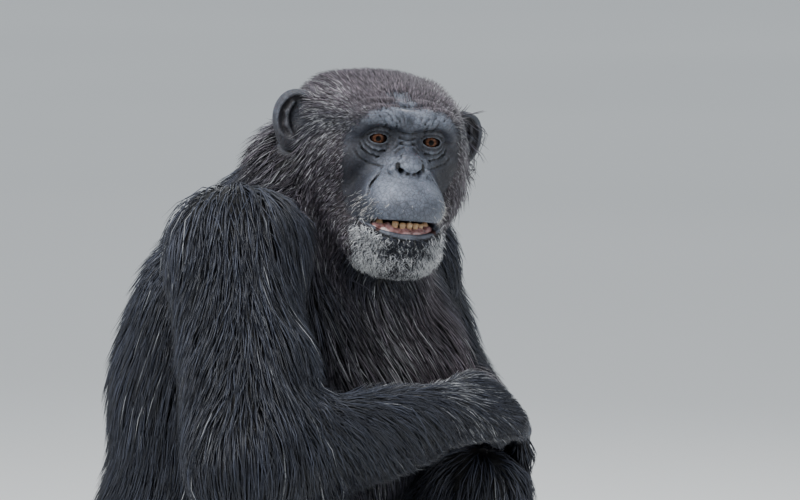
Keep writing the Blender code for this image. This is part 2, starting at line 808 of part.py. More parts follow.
def build_head(parts, skin, eye_brown, bone):
    head = add_object("head", head_clay(0.0020, COAT).mesh("head"), parts, skin)
    thinned(head, 3000)
    made = [
        add_object("eye_" + side, eyeball(sign), parts, eye_brown)
        for side, sign in SIDES.items()
    ]
    made.append(head)
    for side, sign in SIDES.items():
        ear = add_object("ear_" + side, ear_clay(0.0016, sign).mesh("ear"), parts, skin)
        made.append(thinned(ear, 300))
    gum = add_object("lower_gum", gum_clay(0.0007).mesh("gum"), parts, bone)
    made.append(thinned(gum, 540))
    return made


def coat_head(head):
    whiskers = []
    for side in (-1, 1):
        for height, bearings in ((2, (84, 112)), (-24, (72, 98, 124)), (-48, (66, 96, 130))):
            whiskers += [(side * bearing, height) for bearing in bearings]
    nape = [(-168, 22), (168, 22), (180, -8), (-150, -14), (150, -14)]
    beard = [(bearing, -47) for bearing in (-50, -36, -22, -7, 7, 22, 36, 50)]
    beard += [(bearing, -62) for bearing in (-44, -15, 15, 44)]
    back = head_flow(0.55, 0.85)
    down = head_flow(0.10, 1.0)
    with_locks(head, head_roots(head, whiskers), back, (0.050, 0.026), seed=3, cling=0.7)
    with_locks(head, head_roots(head, nape), back, (0.055, 0.034), seed=4)
    with_locks(head, head_roots(head, beard), down, (0.034, 0.018), seed=5, cling=0.35)


WHOLE = {}


def limb_pieces(limb, end_form, cuts, names, parts, cutters):
    """Parts a limb at its joints and gives it the hand or foot past the last cut."""
    WHOLE[names[0]] = WHOLE[names[1]] = surface_tree(limb)
    pieces = split(limb, cuts, names[:2] + ["rest"], parts, cutters)
    bpy.data.objects.remove(pieces.pop())
    pieces.append(half(end_form, names[2], *cuts[-1], parts, cutters))
    bpy.data.objects.remove(end_form)
    return pieces


def build_arm(side, parts, cutters, fur, skin):
    shoulder, elbow, wrist = SHOULDER[side], ELBOW[side], WRIST[side]
    arm = add_object("arm", arm_clay(side, 0.006, COAT).mesh("arm"), parts, fur)
    hand = add_object("hand", hand_clay(side, 0.0022).mesh("hand"), parts, skin)
    along = Vector(wrist) - Vector(mixed(elbow, wrist, 0.7))
    cuts = [(elbow, bend_plane(shoulder, elbow, wrist)), (wrist, along)]
    names = ["upper_arm_" + side, "forearm_" + side, "hand_" + side]
    return limb_pieces(thinned(arm, 900), thinned(hand, 900), cuts, names, parts, cutters)


def build_leg(side, parts, cutters, fur, skin):
    hip, knee, ankle = HIP[side], KNEE[side], ANKLE[side]
    leg = add_object("leg", leg_clay(side, 0.006, COAT).mesh("leg"), parts, fur)
    foot = add_object("foot", foot_clay(side, 0.0022).mesh("foot"), parts, skin)
    ankle_cut = Vector(ankle) + Vector((0, 0, 0.010))
    cuts = [(knee, bend_plane(hip, knee, ankle)), (ankle_cut, (0, 0, -1))]
    names = ["thigh_" + side, "shank_" + side, "foot_" + side]
    return limb_pieces(thinned(leg, 800), thinned(foot, 800), cuts, names, parts, cutters)


def build_trunk(parts, cutters, fur):
    trunk = add_object("trunk", trunk_clay(0.007, COAT).mesh("trunk"), parts, fur)
    thinned(trunk, 1800)
    cuts = [
        ((0, 0, 0.165), (0, 0, 1)),
        ((0, 0, 0.335), (0, 0, 1)),
        ((0, -0.030, 0.612), (0, -0.62, 0.78)),
    ]
    names = ["pelvis", "abdomen", "chest", "neck"]
    for name in names:
        WHOLE[name] = surface_tree(trunk)
    return split(trunk, cuts, names, parts, cutters)[::-1]


TRUNK_AXIS = ((0, 0.050, 0.0), (0, 0.020, 0.60))
TRUNK_ROWS = {
    "pelvis": (0.20,),
    "abdomen": (0.40, 0.52),
    "chest": (0.66, 0.80, 0.93),
    "neck": (1.04,),
}
ARM_ROWS = {"upper_arm": (0.06, 0.36, 0.66), "forearm": (0.24, 0.54)}
LEG_ROWS = {"thigh": (0.30, 0.62), "shank": (0.22, 0.52)}


def lie_along(start, end, fall):
    """The lie of a limb's coat: along the bone and down with the weight of the hair."""
    along = (Vector(end) - Vector(start)).normalized()
    return lambda point, normal: along * (1 - fall) + Vector((0, 0, -fall))


def coat_piece(piece, others, seed):
    """The locks of one piece of the trunk, an arm or a leg."""
    form, side = plain_name(piece)
    whole = WHOLE.get(piece.name)
    near = [
        other
        for other in others
        if other is not piece and boxes_meet(piece, other, 0.02)
    ]
    if form in TRUNK_ROWS:
        roots = roots_round(piece, *TRUNK_AXIS, TRUNK_ROWS[form], range(0, 360, 40))
        lie = lie_along(*TRUNK_AXIS[::-1], 0.5)
        with_locks(piece, roots, lie, (0.100, 0.056), near, seed, whole=whole)
    elif form in ARM_ROWS:
        start, end = (SHOULDER, ELBOW) if form == "upper_arm" else (ELBOW, WRIST)
        roots = roots_round(piece, start[side], end[side], ARM_ROWS[form], range(0, 360, 60))
        if form == "upper_arm":
            roots.append(tuple(Vector(SHOULDER[side]) + Vector((0, 0, 0.070))))
        lie = lie_along(start[side], end[side], 0.42)
        with_locks(piece, roots, lie, (0.092, 0.045), near, seed, whole=whole)
    elif form in LEG_ROWS:
        start, end = (HIP, KNEE) if form == "thigh" else (KNEE, ANKLE)
        roots = roots_round(piece, start[side], end[side], LEG_ROWS[form], range(0, 360, 72))
        lie = lie_along(end[side], start[side], 0.60)
        if form == "shank":
            lie = lie_along(start[side], end[side], 0.50)
        with_locks(piece, roots, lie, (0.075, 0.043), near, seed, whole=whole)


def elbow_tuft(forearm):
    """The tuft where the coats of the upper arm and the forearm meet at the left elbow."""
    aim = Vector((0.36, -0.42, 0.80))
    root = Vector(ELBOW["left"]) + Vector((0.022, -0.038, 0.034))
    roots = [root + Vector((0.012 * i, 0.021 * i, -0.008 * i)) for i in (-1, 0, 1)]
    with_locks(forearm, roots, lambda point, normal: aim, (0.050, 0.017), seed=9, cling=0.3)


def centre_on_floor(parts):
    """Moves the whole model so that the bottom centre of its box is the origin."""
    points = np.concatenate(
        [np.array([v.co for v in obj.data.vertices]) for obj in parts.objects]
    )
    middle = (points.min(axis=0) + points.max(axis=0)) / 2
    shift = Matrix.Translation((-middle[0], -middle[1], -points[:, 2].min()))
    for obj in parts.objects:
        obj.data.transform(shift)


TRIANGLES = {
    "upper_arm": 220,
    "forearm": 200,
    "hand": 520,
    "thigh": 200,
    "shank": 180,
    "foot": 460,
    "neck": 260,
    "chest": 400,
    "abdomen": 240,
    "pelvis": 320,
}


def siblings(a, b):
    """Whether two pieces were parted by one flat cut."""
    chains = (
        ("upper_arm", "forearm", "hand"),
        ("thigh", "shank", "foot"),
        ("neck", "chest", "abdomen", "pelvis"),
    )
    form_a, side_a = plain_name(a)
    form_b, side_b = plain_name(b)
    return side_a == side_b and any(form_a in chain and form_b in chain for chain in chains)


def plain_name(obj):
    """A node's name without its side, and the side."""
    for side in SIDES:
        if obj.name.endswith("_" + side):
            return obj.name[: -len(side) - 1], side
    return obj.name, ""


def part_roughly(pieces, cutters):
    """Cuts the plain forms well clear of each other, then thins their meshes."""
    for number, piece in enumerate(pieces):
        near = [
            other
            for other in pieces[:number]
            if boxes_meet(piece, other) and not siblings(piece, other)
        ]
        form = plain_name(piece)[0]
        if form in TRIANGLES:
            cut_clear(piece, near, cutters, ROUGH_GROWTH)
            thinned(piece, TRIANGLES[form])


def main():
    parts, cutters = start_scene()
    fur = finish_material("Black_coat", (0.018, 0.018, 0.021), 0.6)
    skin = finish_material("Grey_skin", (0.085, 0.088, 0.098), 0.5)
    eye_brown = finish_material("Brown_eye", (0.10, 0.03, 0.012), 0.1, 0.5)
    bone = finish_material("Gum_and_teeth", (0.55, 0.30, 0.22), 0.3)
    pieces = build_head(parts, skin, eye_brown, bone)
    for side in SIDES:
        pieces += build_arm(side, parts, cutters, fur, skin)
    for side in SIDES:
        pieces += build_leg(side, parts, cutters, fur, skin)
    pieces += build_trunk(parts, cutters, fur)
    part_roughly(pieces, cutters)
    for piece in pieces:
        growth = HEAD_GROWTH if piece.name == "head" else CUT_GROWTH
        SHADOWS[piece.name] = grown(piece, cutters, growth)
    coat_head(bpy.data.objects["head"])
    solid = [piece for piece in pieces if not piece.name.startswith(("eye", "lower"))]
    for number, piece in enumerate(pieces):
        coat_piece(piece, solid, LOCK_SEED + number)
    elbow_tuft(bpy.data.objects["forearm_left"])
    for number, piece in enumerate(pieces):
        if piece.name in ("pelvis", "foot_left", "foot_right"):
            above_floor(piece, cutters)
        near = [other for other in pieces[:number] if boxes_meet(piece, other)]
        for other in near:
            boolean(piece, SHADOWS[other.name], "DIFFERENCE")
        eased(largest_piece(piece))
    for shadow in SHADOWS.values():
        bpy.data.objects.remove(shadow)
    centre_on_floor(parts)


main()
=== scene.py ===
# A seated chimpanzee, life size: bare skin, a coat of hair tufts, eyes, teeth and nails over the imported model.
import math
import time

import bmesh
import bpy
import numpy as np
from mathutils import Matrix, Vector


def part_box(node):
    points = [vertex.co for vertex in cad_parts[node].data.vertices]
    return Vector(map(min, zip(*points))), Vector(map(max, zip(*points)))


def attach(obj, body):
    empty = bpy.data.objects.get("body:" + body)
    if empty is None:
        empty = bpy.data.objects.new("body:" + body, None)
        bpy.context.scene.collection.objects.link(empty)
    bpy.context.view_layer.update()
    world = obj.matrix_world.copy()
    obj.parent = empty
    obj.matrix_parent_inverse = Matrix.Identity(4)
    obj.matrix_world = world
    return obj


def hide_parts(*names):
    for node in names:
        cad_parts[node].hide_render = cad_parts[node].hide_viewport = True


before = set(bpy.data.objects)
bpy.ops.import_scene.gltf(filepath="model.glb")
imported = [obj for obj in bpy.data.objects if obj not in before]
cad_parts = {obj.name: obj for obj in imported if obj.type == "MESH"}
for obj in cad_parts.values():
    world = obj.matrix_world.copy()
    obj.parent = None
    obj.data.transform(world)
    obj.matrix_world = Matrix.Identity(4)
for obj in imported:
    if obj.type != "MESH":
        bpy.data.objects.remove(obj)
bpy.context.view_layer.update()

import openvdb
from mathutils import Matrix, Vector

startTime = time.time()


def report(words):
    print("chimpanzee:", words, "at", round(time.time() - startTime, 1), "s")


# The pose in metres, before the model is set on the middle of the floor. "R" is the animal's right.
pose = dict(
    neckBase=(0.0, 0.005, 0.575),
    head=(-0.0103, -0.1205, 0.704), headTurn=-39.0, headRoll=5.5, headNod=2.0,
    shoulder={"R": (-0.165, -0.055, 0.592), "L": (0.142, -0.026, 0.560)},
    elbow={"R": (-0.305, -0.162, 0.402), "L": (0.315, 0.044, 0.414)},
    wrist={"R": (-0.046, -0.226, 0.432), "L": (0.160, -0.132, 0.402)},
    hip={"R": (-0.082, 0.015, 0.115), "L": (0.082, -0.008, 0.120)},
    knee={"R": (-0.210, -0.188, 0.302), "L": (0.046, -0.198, 0.338)},
    ankle={"R": (-0.165, -0.330, 0.075), "L": (0.075, -0.222, 0.078)},
)
signs = {"R": -1.0, "L": 1.0}


def turned(degrees, axis):
    return Matrix.Rotation(math.radians(degrees), 4, axis)


headPlace = (Matrix.Translation(pose["head"]) @ turned(pose["headTurn"], "Z")
             @ turned(pose["headRoll"], "Y") @ turned(pose["headNod"], "X"))
eyeSettings = dict(spot=(0.0272, -0.0750, 0.0), radius=0.0112, iris=0.0060, pupil=0.0024, turn=-4.0, lift=3.0,
                   bulge=0.035, bulgeWidth=0.55)

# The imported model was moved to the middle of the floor: its left eye tells by how much.
eyeLow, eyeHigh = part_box("eye_left")
shift = (Vector(eyeLow) + Vector(eyeHigh)) / 2 - headPlace @ Vector(eyeSettings["spot"])
shift.z = 0.0 if abs(shift.z) < 0.002 else shift.z
report("shift %s" % [round(value, 4) for value in shift])


def floats(values):
    return np.array(values, np.float32)


def vec(*values):
    return floats(values)


def mixed(a, b, share):
    return floats(a) * (1 - share) + floats(b) * share


def softMin(a, b, blend):
    if blend <= 0.0:
        return np.minimum(a, b)
    share = np.clip(0.5 + 0.5 * (b - a) / blend, 0.0, 1.0)
    return b + (a - b) * share - blend * share * (1.0 - share)


def smooth(value, low, high):   # 0 at low, 1 at high, eased between
    share = np.clip((value - low) / (high - low), 0.0, 1.0)
    return share * share * (3.0 - 2.0 * share)


# The clay's distances are kept up to far. A form is stamped as far out as filled or carved says, plus its blend.
claySettings = dict(far=0.05, filled=0.03, carved=0.004)


class Clay:   # a block of distances in which soft forms are stamped, blended and carved
    def __init__(self, low, high, voxel, place=None):
        self.low, self.voxel = floats(low), voxel
        counts = np.ceil((np.array(high) - np.array(low)) / voxel).astype(int) + 1
        self.field = np.full(counts, claySettings["far"], np.float32)
        self.place = place or Matrix.Identity(4)

    def stamp(self, distance, low, high, blend, carve):
        margin = claySettings["carved" if carve else "filled"] + blend
        first = np.floor((np.array(low) - margin - self.low) / self.voxel).astype(int)
        last = np.ceil((np.array(high) + margin - self.low) / self.voxel).astype(int) + 1
        first, last = (np.clip(end, 0, self.field.shape) for end in (first, last))
        if np.any(last <= first):
            return
        part = tuple(slice(a, b) for a, b in zip(first, last))
        axes = [self.low[i] + self.voxel * np.arange(first[i], last[i], dtype=np.float32) for i in range(3)]
        points = np.stack(np.meshgrid(*axes, indexing="ij"), axis=-1)
        old, new = self.field[part], distance(points)
        self.field[part] = -softMin(-old, new, blend) if carve else softMin(old, new, blend)

    def ball(self, centre, radii, blend=0.0, carve=False):
        centre, radii = floats(centre), np.broadcast_to(floats(radii), (3,))

        def distance(points):
            local = points - centre
            near = np.linalg.norm(local / radii, axis=-1)
            slope = np.linalg.norm(local / radii**2, axis=-1) + 1e-6
            return near * (near - 1.0) / slope

        self.stamp(distance, centre - radii, centre + radii, blend, carve)

    def limb(self, start, end, startRadius, endRadius, blend=0.0, carve=False):
        start, end = floats(start), floats(end)
        along, size = end - start, max(startRadius, endRadius)

        def distance(points):
            offset = points - start
            share = np.clip(offset @ along / (along @ along), 0.0, 1.0)
            radius = startRadius + (endRadius - startRadius) * share
            return np.linalg.norm(offset - share[..., None] * along, axis=-1) - radius

        self.stamp(distance, np.minimum(start, end) - size, np.maximum(start, end) + size, blend, carve)

    def chain(self, points, radii, blend=0.0, carve=False):
        for i in range(len(points) - 1):
            self.limb(points[i], points[i + 1], radii[i], radii[i + 1], blend, carve)

    def groove(self, points, radius, blend):   # a thin crease carved through several points
        self.chain(points, [radius * 0.6] + [radius] * (len(points) - 2) + [radius * 0.6], blend, True)

    def mesh(self, name):
        grid = openvdb.FloatGrid()
        grid.copyFromArray(self.field)
        points, triangles, quads = grid.convertToPolygons(isovalue=0.0, adaptivity=0.0)
        mesh = bpy.data.meshes.new(name)
        mesh.from_pydata((points * self.voxel + self.low).tolist(), [], triangles.tolist() + quads.tolist())
        mesh.transform(self.place)
        return mesh


def bothSides(points):   # an arc from its left end to the middle, mirrored to its right end
    return points + [(-x, y, z) for x, y, z in reversed(points[:-1])]


def mirrored(points, sign):
    return [(sign * x, y, z) for x, y, z in points]


def dress(mesh, material):
    mesh.materials.clear()
    mesh.materials.append(material)


def addObject(name, data, material=None):
    obj = bpy.data.objects.new(name, data)
    bpy.context.scene.collection.objects.link(obj)
    if material:
        dress(data, material)
    return obj


def closed(work, name):   # the mesh of a finished bmesh
    mesh = bpy.data.meshes.new(name)
    work.to_mesh(mesh)
    work.free()
    return mesh


def readAll(items, name, width=1, kind=np.float32):   # a value, or a row of them, for each item of a mesh
    values = np.zeros(len(items) * width, kind)
    items.foreach_get(name, values)
    return values.reshape(-1, width) if width > 1 else values


def applied(obj):
    graph = bpy.context.evaluated_depsgraph_get()
    mesh = bpy.data.meshes.new_from_object(obj.evaluated_get(graph))
    obj.modifiers.clear()
    obj.data = mesh
    return obj


def triangleCount(obj):
    return sum(len(face.vertices) - 2 for face in obj.data.polygons)


def joined(obj, others):   # one union of closed forms
    group = bpy.data.collections.new("forms")
    bpy.context.scene.collection.children.link(group)
    for other in others:
        bpy.context.scene.collection.objects.unlink(other)
        group.objects.link(other)
    join = obj.modifiers.new("Join", "BOOLEAN")
    join.operation, join.operand_type, join.solver = "UNION", "COLLECTION", "MANIFOLD"
    join.collection = group
    applied(obj)
    for other in others:
        bpy.data.objects.remove(other)
    bpy.data.collections.remove(group)


# The head, in its own frame: the face looks along -Y and the eyes are level with the origin.
face = dict(
    mouth=(0.0, -0.108, -0.0810),
    mouthRadii=(0.0330, 0.034, 0.0085),
    jawArc=[(0.0385, -0.094, -0.0815), (0.0320, -0.110, -0.0870), (0.0180, -0.1225, -0.0912), (0.0, -0.1270, -0.0925)],
    ridge=[
        (0.0510, -0.062, -0.014), (0.0525, -0.068, 0.000), (0.0465, -0.079, 0.0125),
        (0.0340, -0.0885, 0.0205), (0.0170, -0.0925, 0.0215), (0.0, -0.0910, 0.0185),
    ],
    ridgeSizes=[0.0055, 0.0080, 0.0098, 0.0100, 0.0097, 0.0090],
    #          across, top, foot, lean outwards, depth
    browLines=[
        (0.0060, 0.0260, 0.0130, 0.0040, 0.0012), (0.0112, 0.0235, 0.0155, 0.0060, 0.0014),
        (0.0142, 0.0180, 0.0105, 0.0020, 0.0010), (0.0192, 0.0265, 0.0160, 0.0070, 0.0014),
        (0.0240, 0.0195, 0.0120, 0.0050, 0.0011), (0.0305, 0.0245, 0.0180, 0.0040, 0.0011),
        (0.0390, 0.0180, 0.0115, 0.0050, 0.0009),
    ],
    inset=0.0003,
    under=0.0045,
    underFrom=0.032,
    underTo=0.050,
    front=-0.026,
)


def headClay(voxel, front=None):   # the head, or only what lies before a plane across it
    low, high = [-0.10, -0.150, -0.148], [0.10, 0.098, 0.068]
    if front is not None:
        high[1] = front + 0.004
    clay = Clay(low, high, voxel, headPlace)
    clay.ball((0, -0.006, 0.002), (0.061, 0.076, 0.050))
    clay.ball((0, 0.034, -0.026), (0.058, 0.046, 0.054), 0.03)
    clay.limb((0, 0.018, -0.055), (0, 0.036, -0.105), 0.056, 0.050, 0.03)
    for side in (-1.0, 1.0):
        clay.ball((side * 0.030, 0.026, 0.007), (0.042, 0.044, 0.037), 0.03)
        clay.ball((side * 0.047, -0.022, -0.020), (0.031, 0.050, 0.056), 0.02)
        clay.ball((side * 0.045, -0.056, -0.018), (0.016, 0.024, 0.016), 0.018)
        clay.limb((side * 0.050, 0.002, -0.050), (side * 0.030, -0.076, -0.102), 0.027, 0.020, 0.024)
    clay.ball((0, -0.060, -0.012), (0.047, 0.030, 0.036), 0.012)
    clay.limb((0, -0.060, -0.022), (0, -0.080, -0.048), 0.021, 0.032, 0.018)
    clay.ball((0, -0.070, -0.102), (0.034, 0.045, 0.020), 0.018)
    clay.ball((0, -0.084, -0.062), (0.043, 0.050, 0.031), 0.016)
    clay.ball((0, -0.104, -0.0635), (0.037, 0.0315, 0.0215), 0.013)
    ridge, sizes = face["ridge"], face["ridgeSizes"]
    behind = [(x * 0.96, y + 0.019, z - 0.0015) for x, y, z in ridge[2:]]   # the forehead starts right behind the ridge
    clay.chain(bothSides(behind), [0.0120, 0.0130, 0.0135, 0.0140, 0.0135, 0.0130, 0.0120], 0.012)
    clay.chain(bothSides(ridge), sizes + sizes[-2::-1], 0.006)
    furrow = [(x * 1.04, y + 0.0110, z + 0.0140) for x, y, z in ridge[2:]]
    clay.chain(bothSides(furrow), [0.0022, 0.0030, 0.0034, 0.0034, 0.0034, 0.0030, 0.0022], 0.006, True)
    clay.ball((0, -0.1005, 0.0175), (0.0045, 0.0045, 0.0090), 0.005, True)   # the dip in the middle of the brow
    x, y, z = eyeSettings["spot"]
    for side in (-1.0, 1.0):   # the sockets
        clay.ball((side * x, y - 0.020, z - 0.001), (0.0165, 0.0130, 0.0115), 0.008, True)
    for side in (-1.0, 1.0):
        lids(clay, side)
    nose(clay)
    mouth(clay)
    depth = clay.low[1] + clay.voxel * np.arange(clay.field.shape[1], dtype=np.float32)
    if front is None:   # the coarse head lies under the fine face
        sunk = face["inset"] + face["under"] * smooth(-depth, face["underFrom"], face["underTo"])
        clay.field += sunk[None, :, None]
        return clay
    creases(clay)
    clay.field = np.maximum(clay.field, (depth - front)[None, :, None])
    return clay


def arcRound(side, reach, height, forward, turns):   # points round an eye, forward before its middle
    x, y, z = eyeSettings["spot"]
    points = []
    for turn in turns:
        out = reach * math.cos(math.radians(turn))
        deep = y - forward * (1 - 0.45 * (out / reach) ** 2) + 0.10 * max(out, 0)
        points.append((side * (x + out), deep, z + height * math.sin(math.radians(turn))))
    return points


# The lids and the bag under the eye: whether above the eye, how far out, how high, how far forward, sizes, blend
lidForms = dict(
    turns={True: range(15, 170, 25), False: range(-15, -170, -25)},
    rims=[
        (True, 0.0125, 0.0092, 0.0128, [0.0016, 0.0021, 0.0025, 0.0026, 0.0024, 0.0019, 0.0014], 0.0014),
        (False, 0.0130, 0.0108, 0.0112, [0.0015, 0.0020, 0.0024, 0.0025, 0.0023, 0.0018, 0.0014], 0.0016),
        (False, 0.0165, 0.0158, 0.0085, [0.0012, 0.0018, 0.0023, 0.0024, 0.0021, 0.0016, 0.0012], 0.0020),
    ],
    folds=[
        (True, 0.0122, 0.0068, 0.0150, 0.0010, 0.0006), (False, 0.0122, 0.0078, 0.0146, 0.0010, 0.0006),
        (False, 0.0150, 0.0132, 0.0125, 0.0011, 0.0007), (False, 0.0186, 0.0186, 0.0100, 0.0011, 0.0010),
    ],
)


def lids(clay, side):
    x, y, z = eyeSettings["spot"]
    radius, turns = eyeSettings["radius"], lidForms["turns"]
    clay.ball((side * x, y, z), radius + 0.0028, 0.0030)
    for above, reach, height, forward, sizes, blend in lidForms["rims"]:
        clay.chain(arcRound(side, reach, height, forward, turns[above]), sizes, blend)
    clay.ball((side * x, y - 0.014, z - 0.0002), (0.0098, 0.0135, 0.0044), 0.0010, True)
    clay.ball((side * x, y, z), radius + 0.0007, 0.0, True)
    for above, reach, height, forward, size, blend in lidForms["folds"]:
        clay.groove(arcRound(side, reach, height, forward, turns[above]), size, blend)


noseForms = dict(
    wing=[(0.0155, -0.1035, -0.0180), (0.0174, -0.1058, -0.0265), (0.0118, -0.1108, -0.0350)],
    slit=[(0.0134, -0.1108, -0.0225), (0.0132, -0.1122, -0.0265), (0.0096, -0.1150, -0.0308),
          (0.0030, -0.1172, -0.0316)],
    hole=[(0.0090, -0.1155, -0.0300), (0.0078, -0.1015, -0.0250)],
)


def nose(clay):
    clay.limb((0, -0.080, -0.002), (0, -0.0965, -0.018), 0.006, 0.0085, 0.016)
    clay.ball((0, -0.1055, -0.0200), (0.0150, 0.0085, 0.0085), 0.006)
    clay.ball((0, -0.1108, -0.0258), (0.0112, 0.0064, 0.0058), 0.005)
    for side in (-1.0, 1.0):
        clay.chain(mirrored(noseForms["wing"], side), [0.0026, 0.0036, 0.0026], 0.0030)
        clay.chain(mirrored(noseForms["slit"], side), [0.0012, 0.0026, 0.0033, 0.0020], 0.0008, True)
        clay.chain(mirrored(noseForms["hole"], side), [0.0032, 0.0028], 0.0010, True)


def mouth(clay):
    clay.ball((0, -0.096, -0.106), (0.034, 0.027, 0.026), 0.016)
    clay.chain(bothSides(face["jawArc"]), [0.0042, 0.0046, 0.0048, 0.0048, 0.0048, 0.0046, 0.0042], 0.005)
    clay.ball(face["mouth"], face["mouthRadii"], 0.003, True)
    clay.ball((0, -0.094, -0.0850), (0.030, 0.027, 0.0125), 0.003, True)
    for side in (-1.0, 1.0):
        line = mirrored([(0.030, -0.1125, -0.0805), (0.0425, -0.094, -0.0800), (0.0470, -0.084, -0.0815)], side)
        clay.chain(line, [0.0022, 0.0011, 0.0007], 0.003, True)


def creases(clay):   # the folds that a chimpanzee's face always shows
    for side in (-1.0, 1.0):
        for i in range(5):   # lines that fall from the nose's side over the cheek
            low = -0.0040 * i
            line = [(0.0155 + 0.003 * i, 0, -0.020 + low), (0.024 + 0.003 * i, 0, -0.028 + low * 1.2),
                    (0.0335 + 0.002 * i, 0, -0.042 + low * 1.1), (0.0385 + 0.002 * i, 0, -0.058 + low)]
            onSkin(clay, mirrored(line, side), 0.0013 - 0.00008 * i)
        for foot, top, low, lean, size in face["browLines"]:   # short deep lines over the brow
            if side > 0:
                foot, lean = foot + 0.0015, lean * 0.7
            line = [(foot + lean, 0, top), (foot + lean * 0.35, 0, (top + low) / 2 + 0.001), (foot, 0, low)]
            onSkin(clay, mirrored(line, side), size)
        for i in range(3):   # folds at the root of the nose
            low = 0.0050 * i
            line = [(0.0035, 0, -0.001 - 0.0045 * i), (0.0090, 0, -0.0035 - low), (0.0135, 0, -0.0090 - low)]
            onSkin(clay, mirrored(line, side), 0.0012)
        ring = [(0.0272 + 0.0255 * math.cos(a), 0, -0.002 + 0.0249 * math.sin(a))
                for a in np.radians([-25, -50, -75, -100, -125])]   # it runs out from the eye's bag over the cheek
        onSkin(clay, mirrored(ring, side), 0.0012)
    for i in range(3):   # lines between the eyes
        height = 0.0080 - 0.0050 * i
        onSkin(clay, bothSides([(0.010, 0, height), (0.004, 0, height - 0.0014), (0, 0, height - 0.0018)]), 0.0013)
    for i in range(2):   # furrows above the brow
        height = 0.0330 + 0.0042 * i
        onSkin(clay, bothSides([(0.036, 0, height - 0.006), (0.018, 0, height), (0, 0, height - 0.0016)]), 0.0009)


def onSkin(clay, points, radius):   # carves a crease through points that are first drawn onto the surface along Y
    found = []
    dense = [tuple(mixed(a, b, share)) for a, b in zip(points[:-1], points[1:]) for share in (0.0, 0.34, 0.67)]
    for x, y, z in dense + points[-1:]:
        i = int(round((x - clay.low[0]) / clay.voxel))
        k = int(round((z - clay.low[2]) / clay.voxel))
        column = clay.field[i, :, k]
        inside = np.nonzero(column < 0)[0]
        if len(inside) and inside[0] > 0:
            j = inside[0]
            part = column[j - 1] / (column[j - 1] - column[j])
            found.append((x, float(clay.low[1] + clay.voxel * (j - 1 + part)), z))
    if len(found) > 2:
        clay.groove(found, radius, 0.0006)


# Jaw, gum and teeth that the open mouth shows.
teeth = dict(
    gumArc=[(0.0285, -0.0920, -0.0868), (0.0245, -0.1010, -0.0878), (0.0130, -0.1108, -0.0898),
            (0.0, -0.1140, -0.0905)],
    gumRadius=0.0066,
    gumVoxel=0.0005,
    foot=-0.0878,
    depth=0.0030,
    corners=12,
    #     height, share of the width, share of the depth; a share below 0 is in metres, in the gum
    wedge=[(-0.0040, 0.34, 0.62), (0.0, 0.46, 0.80), (0.45, 0.84, 0.80), (0.82, 1.02, 0.56), (1.0, 0.90, 0.28)],
    canine=[(-0.0040, 0.70, 0.8), (0.0, 0.92, 0.95), (0.40, 1.0, 1.0), (0.80, 0.62, 0.66), (1.0, 0.26, 0.30)],
    canineFrom=0.004,
    #    across, front, half width, height; the animal's right is negative and lacks one side tooth
    row=[(0.0034, -0.1150, 0.0034, 0.0102), (-0.0034, -0.1150, 0.0035, 0.0098), (0.0102, -0.1130, 0.0034, 0.0100),
         (-0.0104, -0.1128, 0.0037, 0.0106), (0.0165, -0.1087, 0.0032, 0.0094), (0.0228, -0.1022, 0.0042, 0.0124),
         (-0.0232, -0.1018, 0.0046, 0.0124)],
)


def gumClay(voxel):
    clay = Clay((-0.044, -0.130, -0.104), (0.044, -0.075, -0.074), voxel, headPlace)
    clay.chain(bothSides(teeth["gumArc"]), [teeth["gumRadius"]] * 7, 0.004)
    clay.ball((-0.0168, -0.1085, -0.0842), (0.0042, 0.0042, 0.0050), 0.003)   # healed gum where a tooth is lost
    for x, y, halfWidth, height in teeth["row"]:   # the gum swells round each root
        clay.ball((x, y - 0.0014, teeth["foot"] + 0.0006), (halfWidth * 0.75, 0.0030, 0.0030), 0.0014)
    return clay


def addTooth(work, x, y, halfWidth, height):   # one worn tooth: a wedge with a crown wider than its neck
    slant = 0.25 * math.sin(x * 900)   # each edge is worn to its own slope
    corners, loops = teeth["corners"], []
    for share, wide, deep in teeth["canine" if halfWidth > teeth["canineFrom"] else "wedge"]:
        up = max(share, 0)
        z = teeth["foot"] + (share if share < 0 else share * height)
        loop = []
        for i in range(corners):
            cx, cy = math.cos(2 * math.pi * i / corners), math.sin(2 * math.pi * i / corners)
            px = abs(cx) ** 0.7 * math.copysign(1, cx) * halfWidth * wide
            py = abs(cy) ** 0.8 * math.copysign(1, cy) * teeth["depth"] * deep
            loop.append(work.verts.new((x + px, y + py - 0.0010 * up, z + px * slant * up)))
        loops.append(loop)
    for a, b in zip(loops[:-1], loops[1:]):
        for i in range(corners):
            after = (i + 1) % corners
            work.faces.new((a[i], a[after], b[after], b[i]))
    work.faces.new(loops[0][::-1])
    work.faces.new(loops[-1])


ears = dict(out=0.083, back=0.006, swing=26.0, drop={-1.0: 0.003, 1.0: -0.005}, lean={-1.0: 11.0, 1.0: 6.0})


def earPlace(side):   # in the head's frame
    spot = Matrix.Translation((side * ears["out"], ears["back"], ears["drop"][side]))
    return spot @ turned(ears["swing"] * side, "Z") @ turned(ears["lean"][side], "Y")


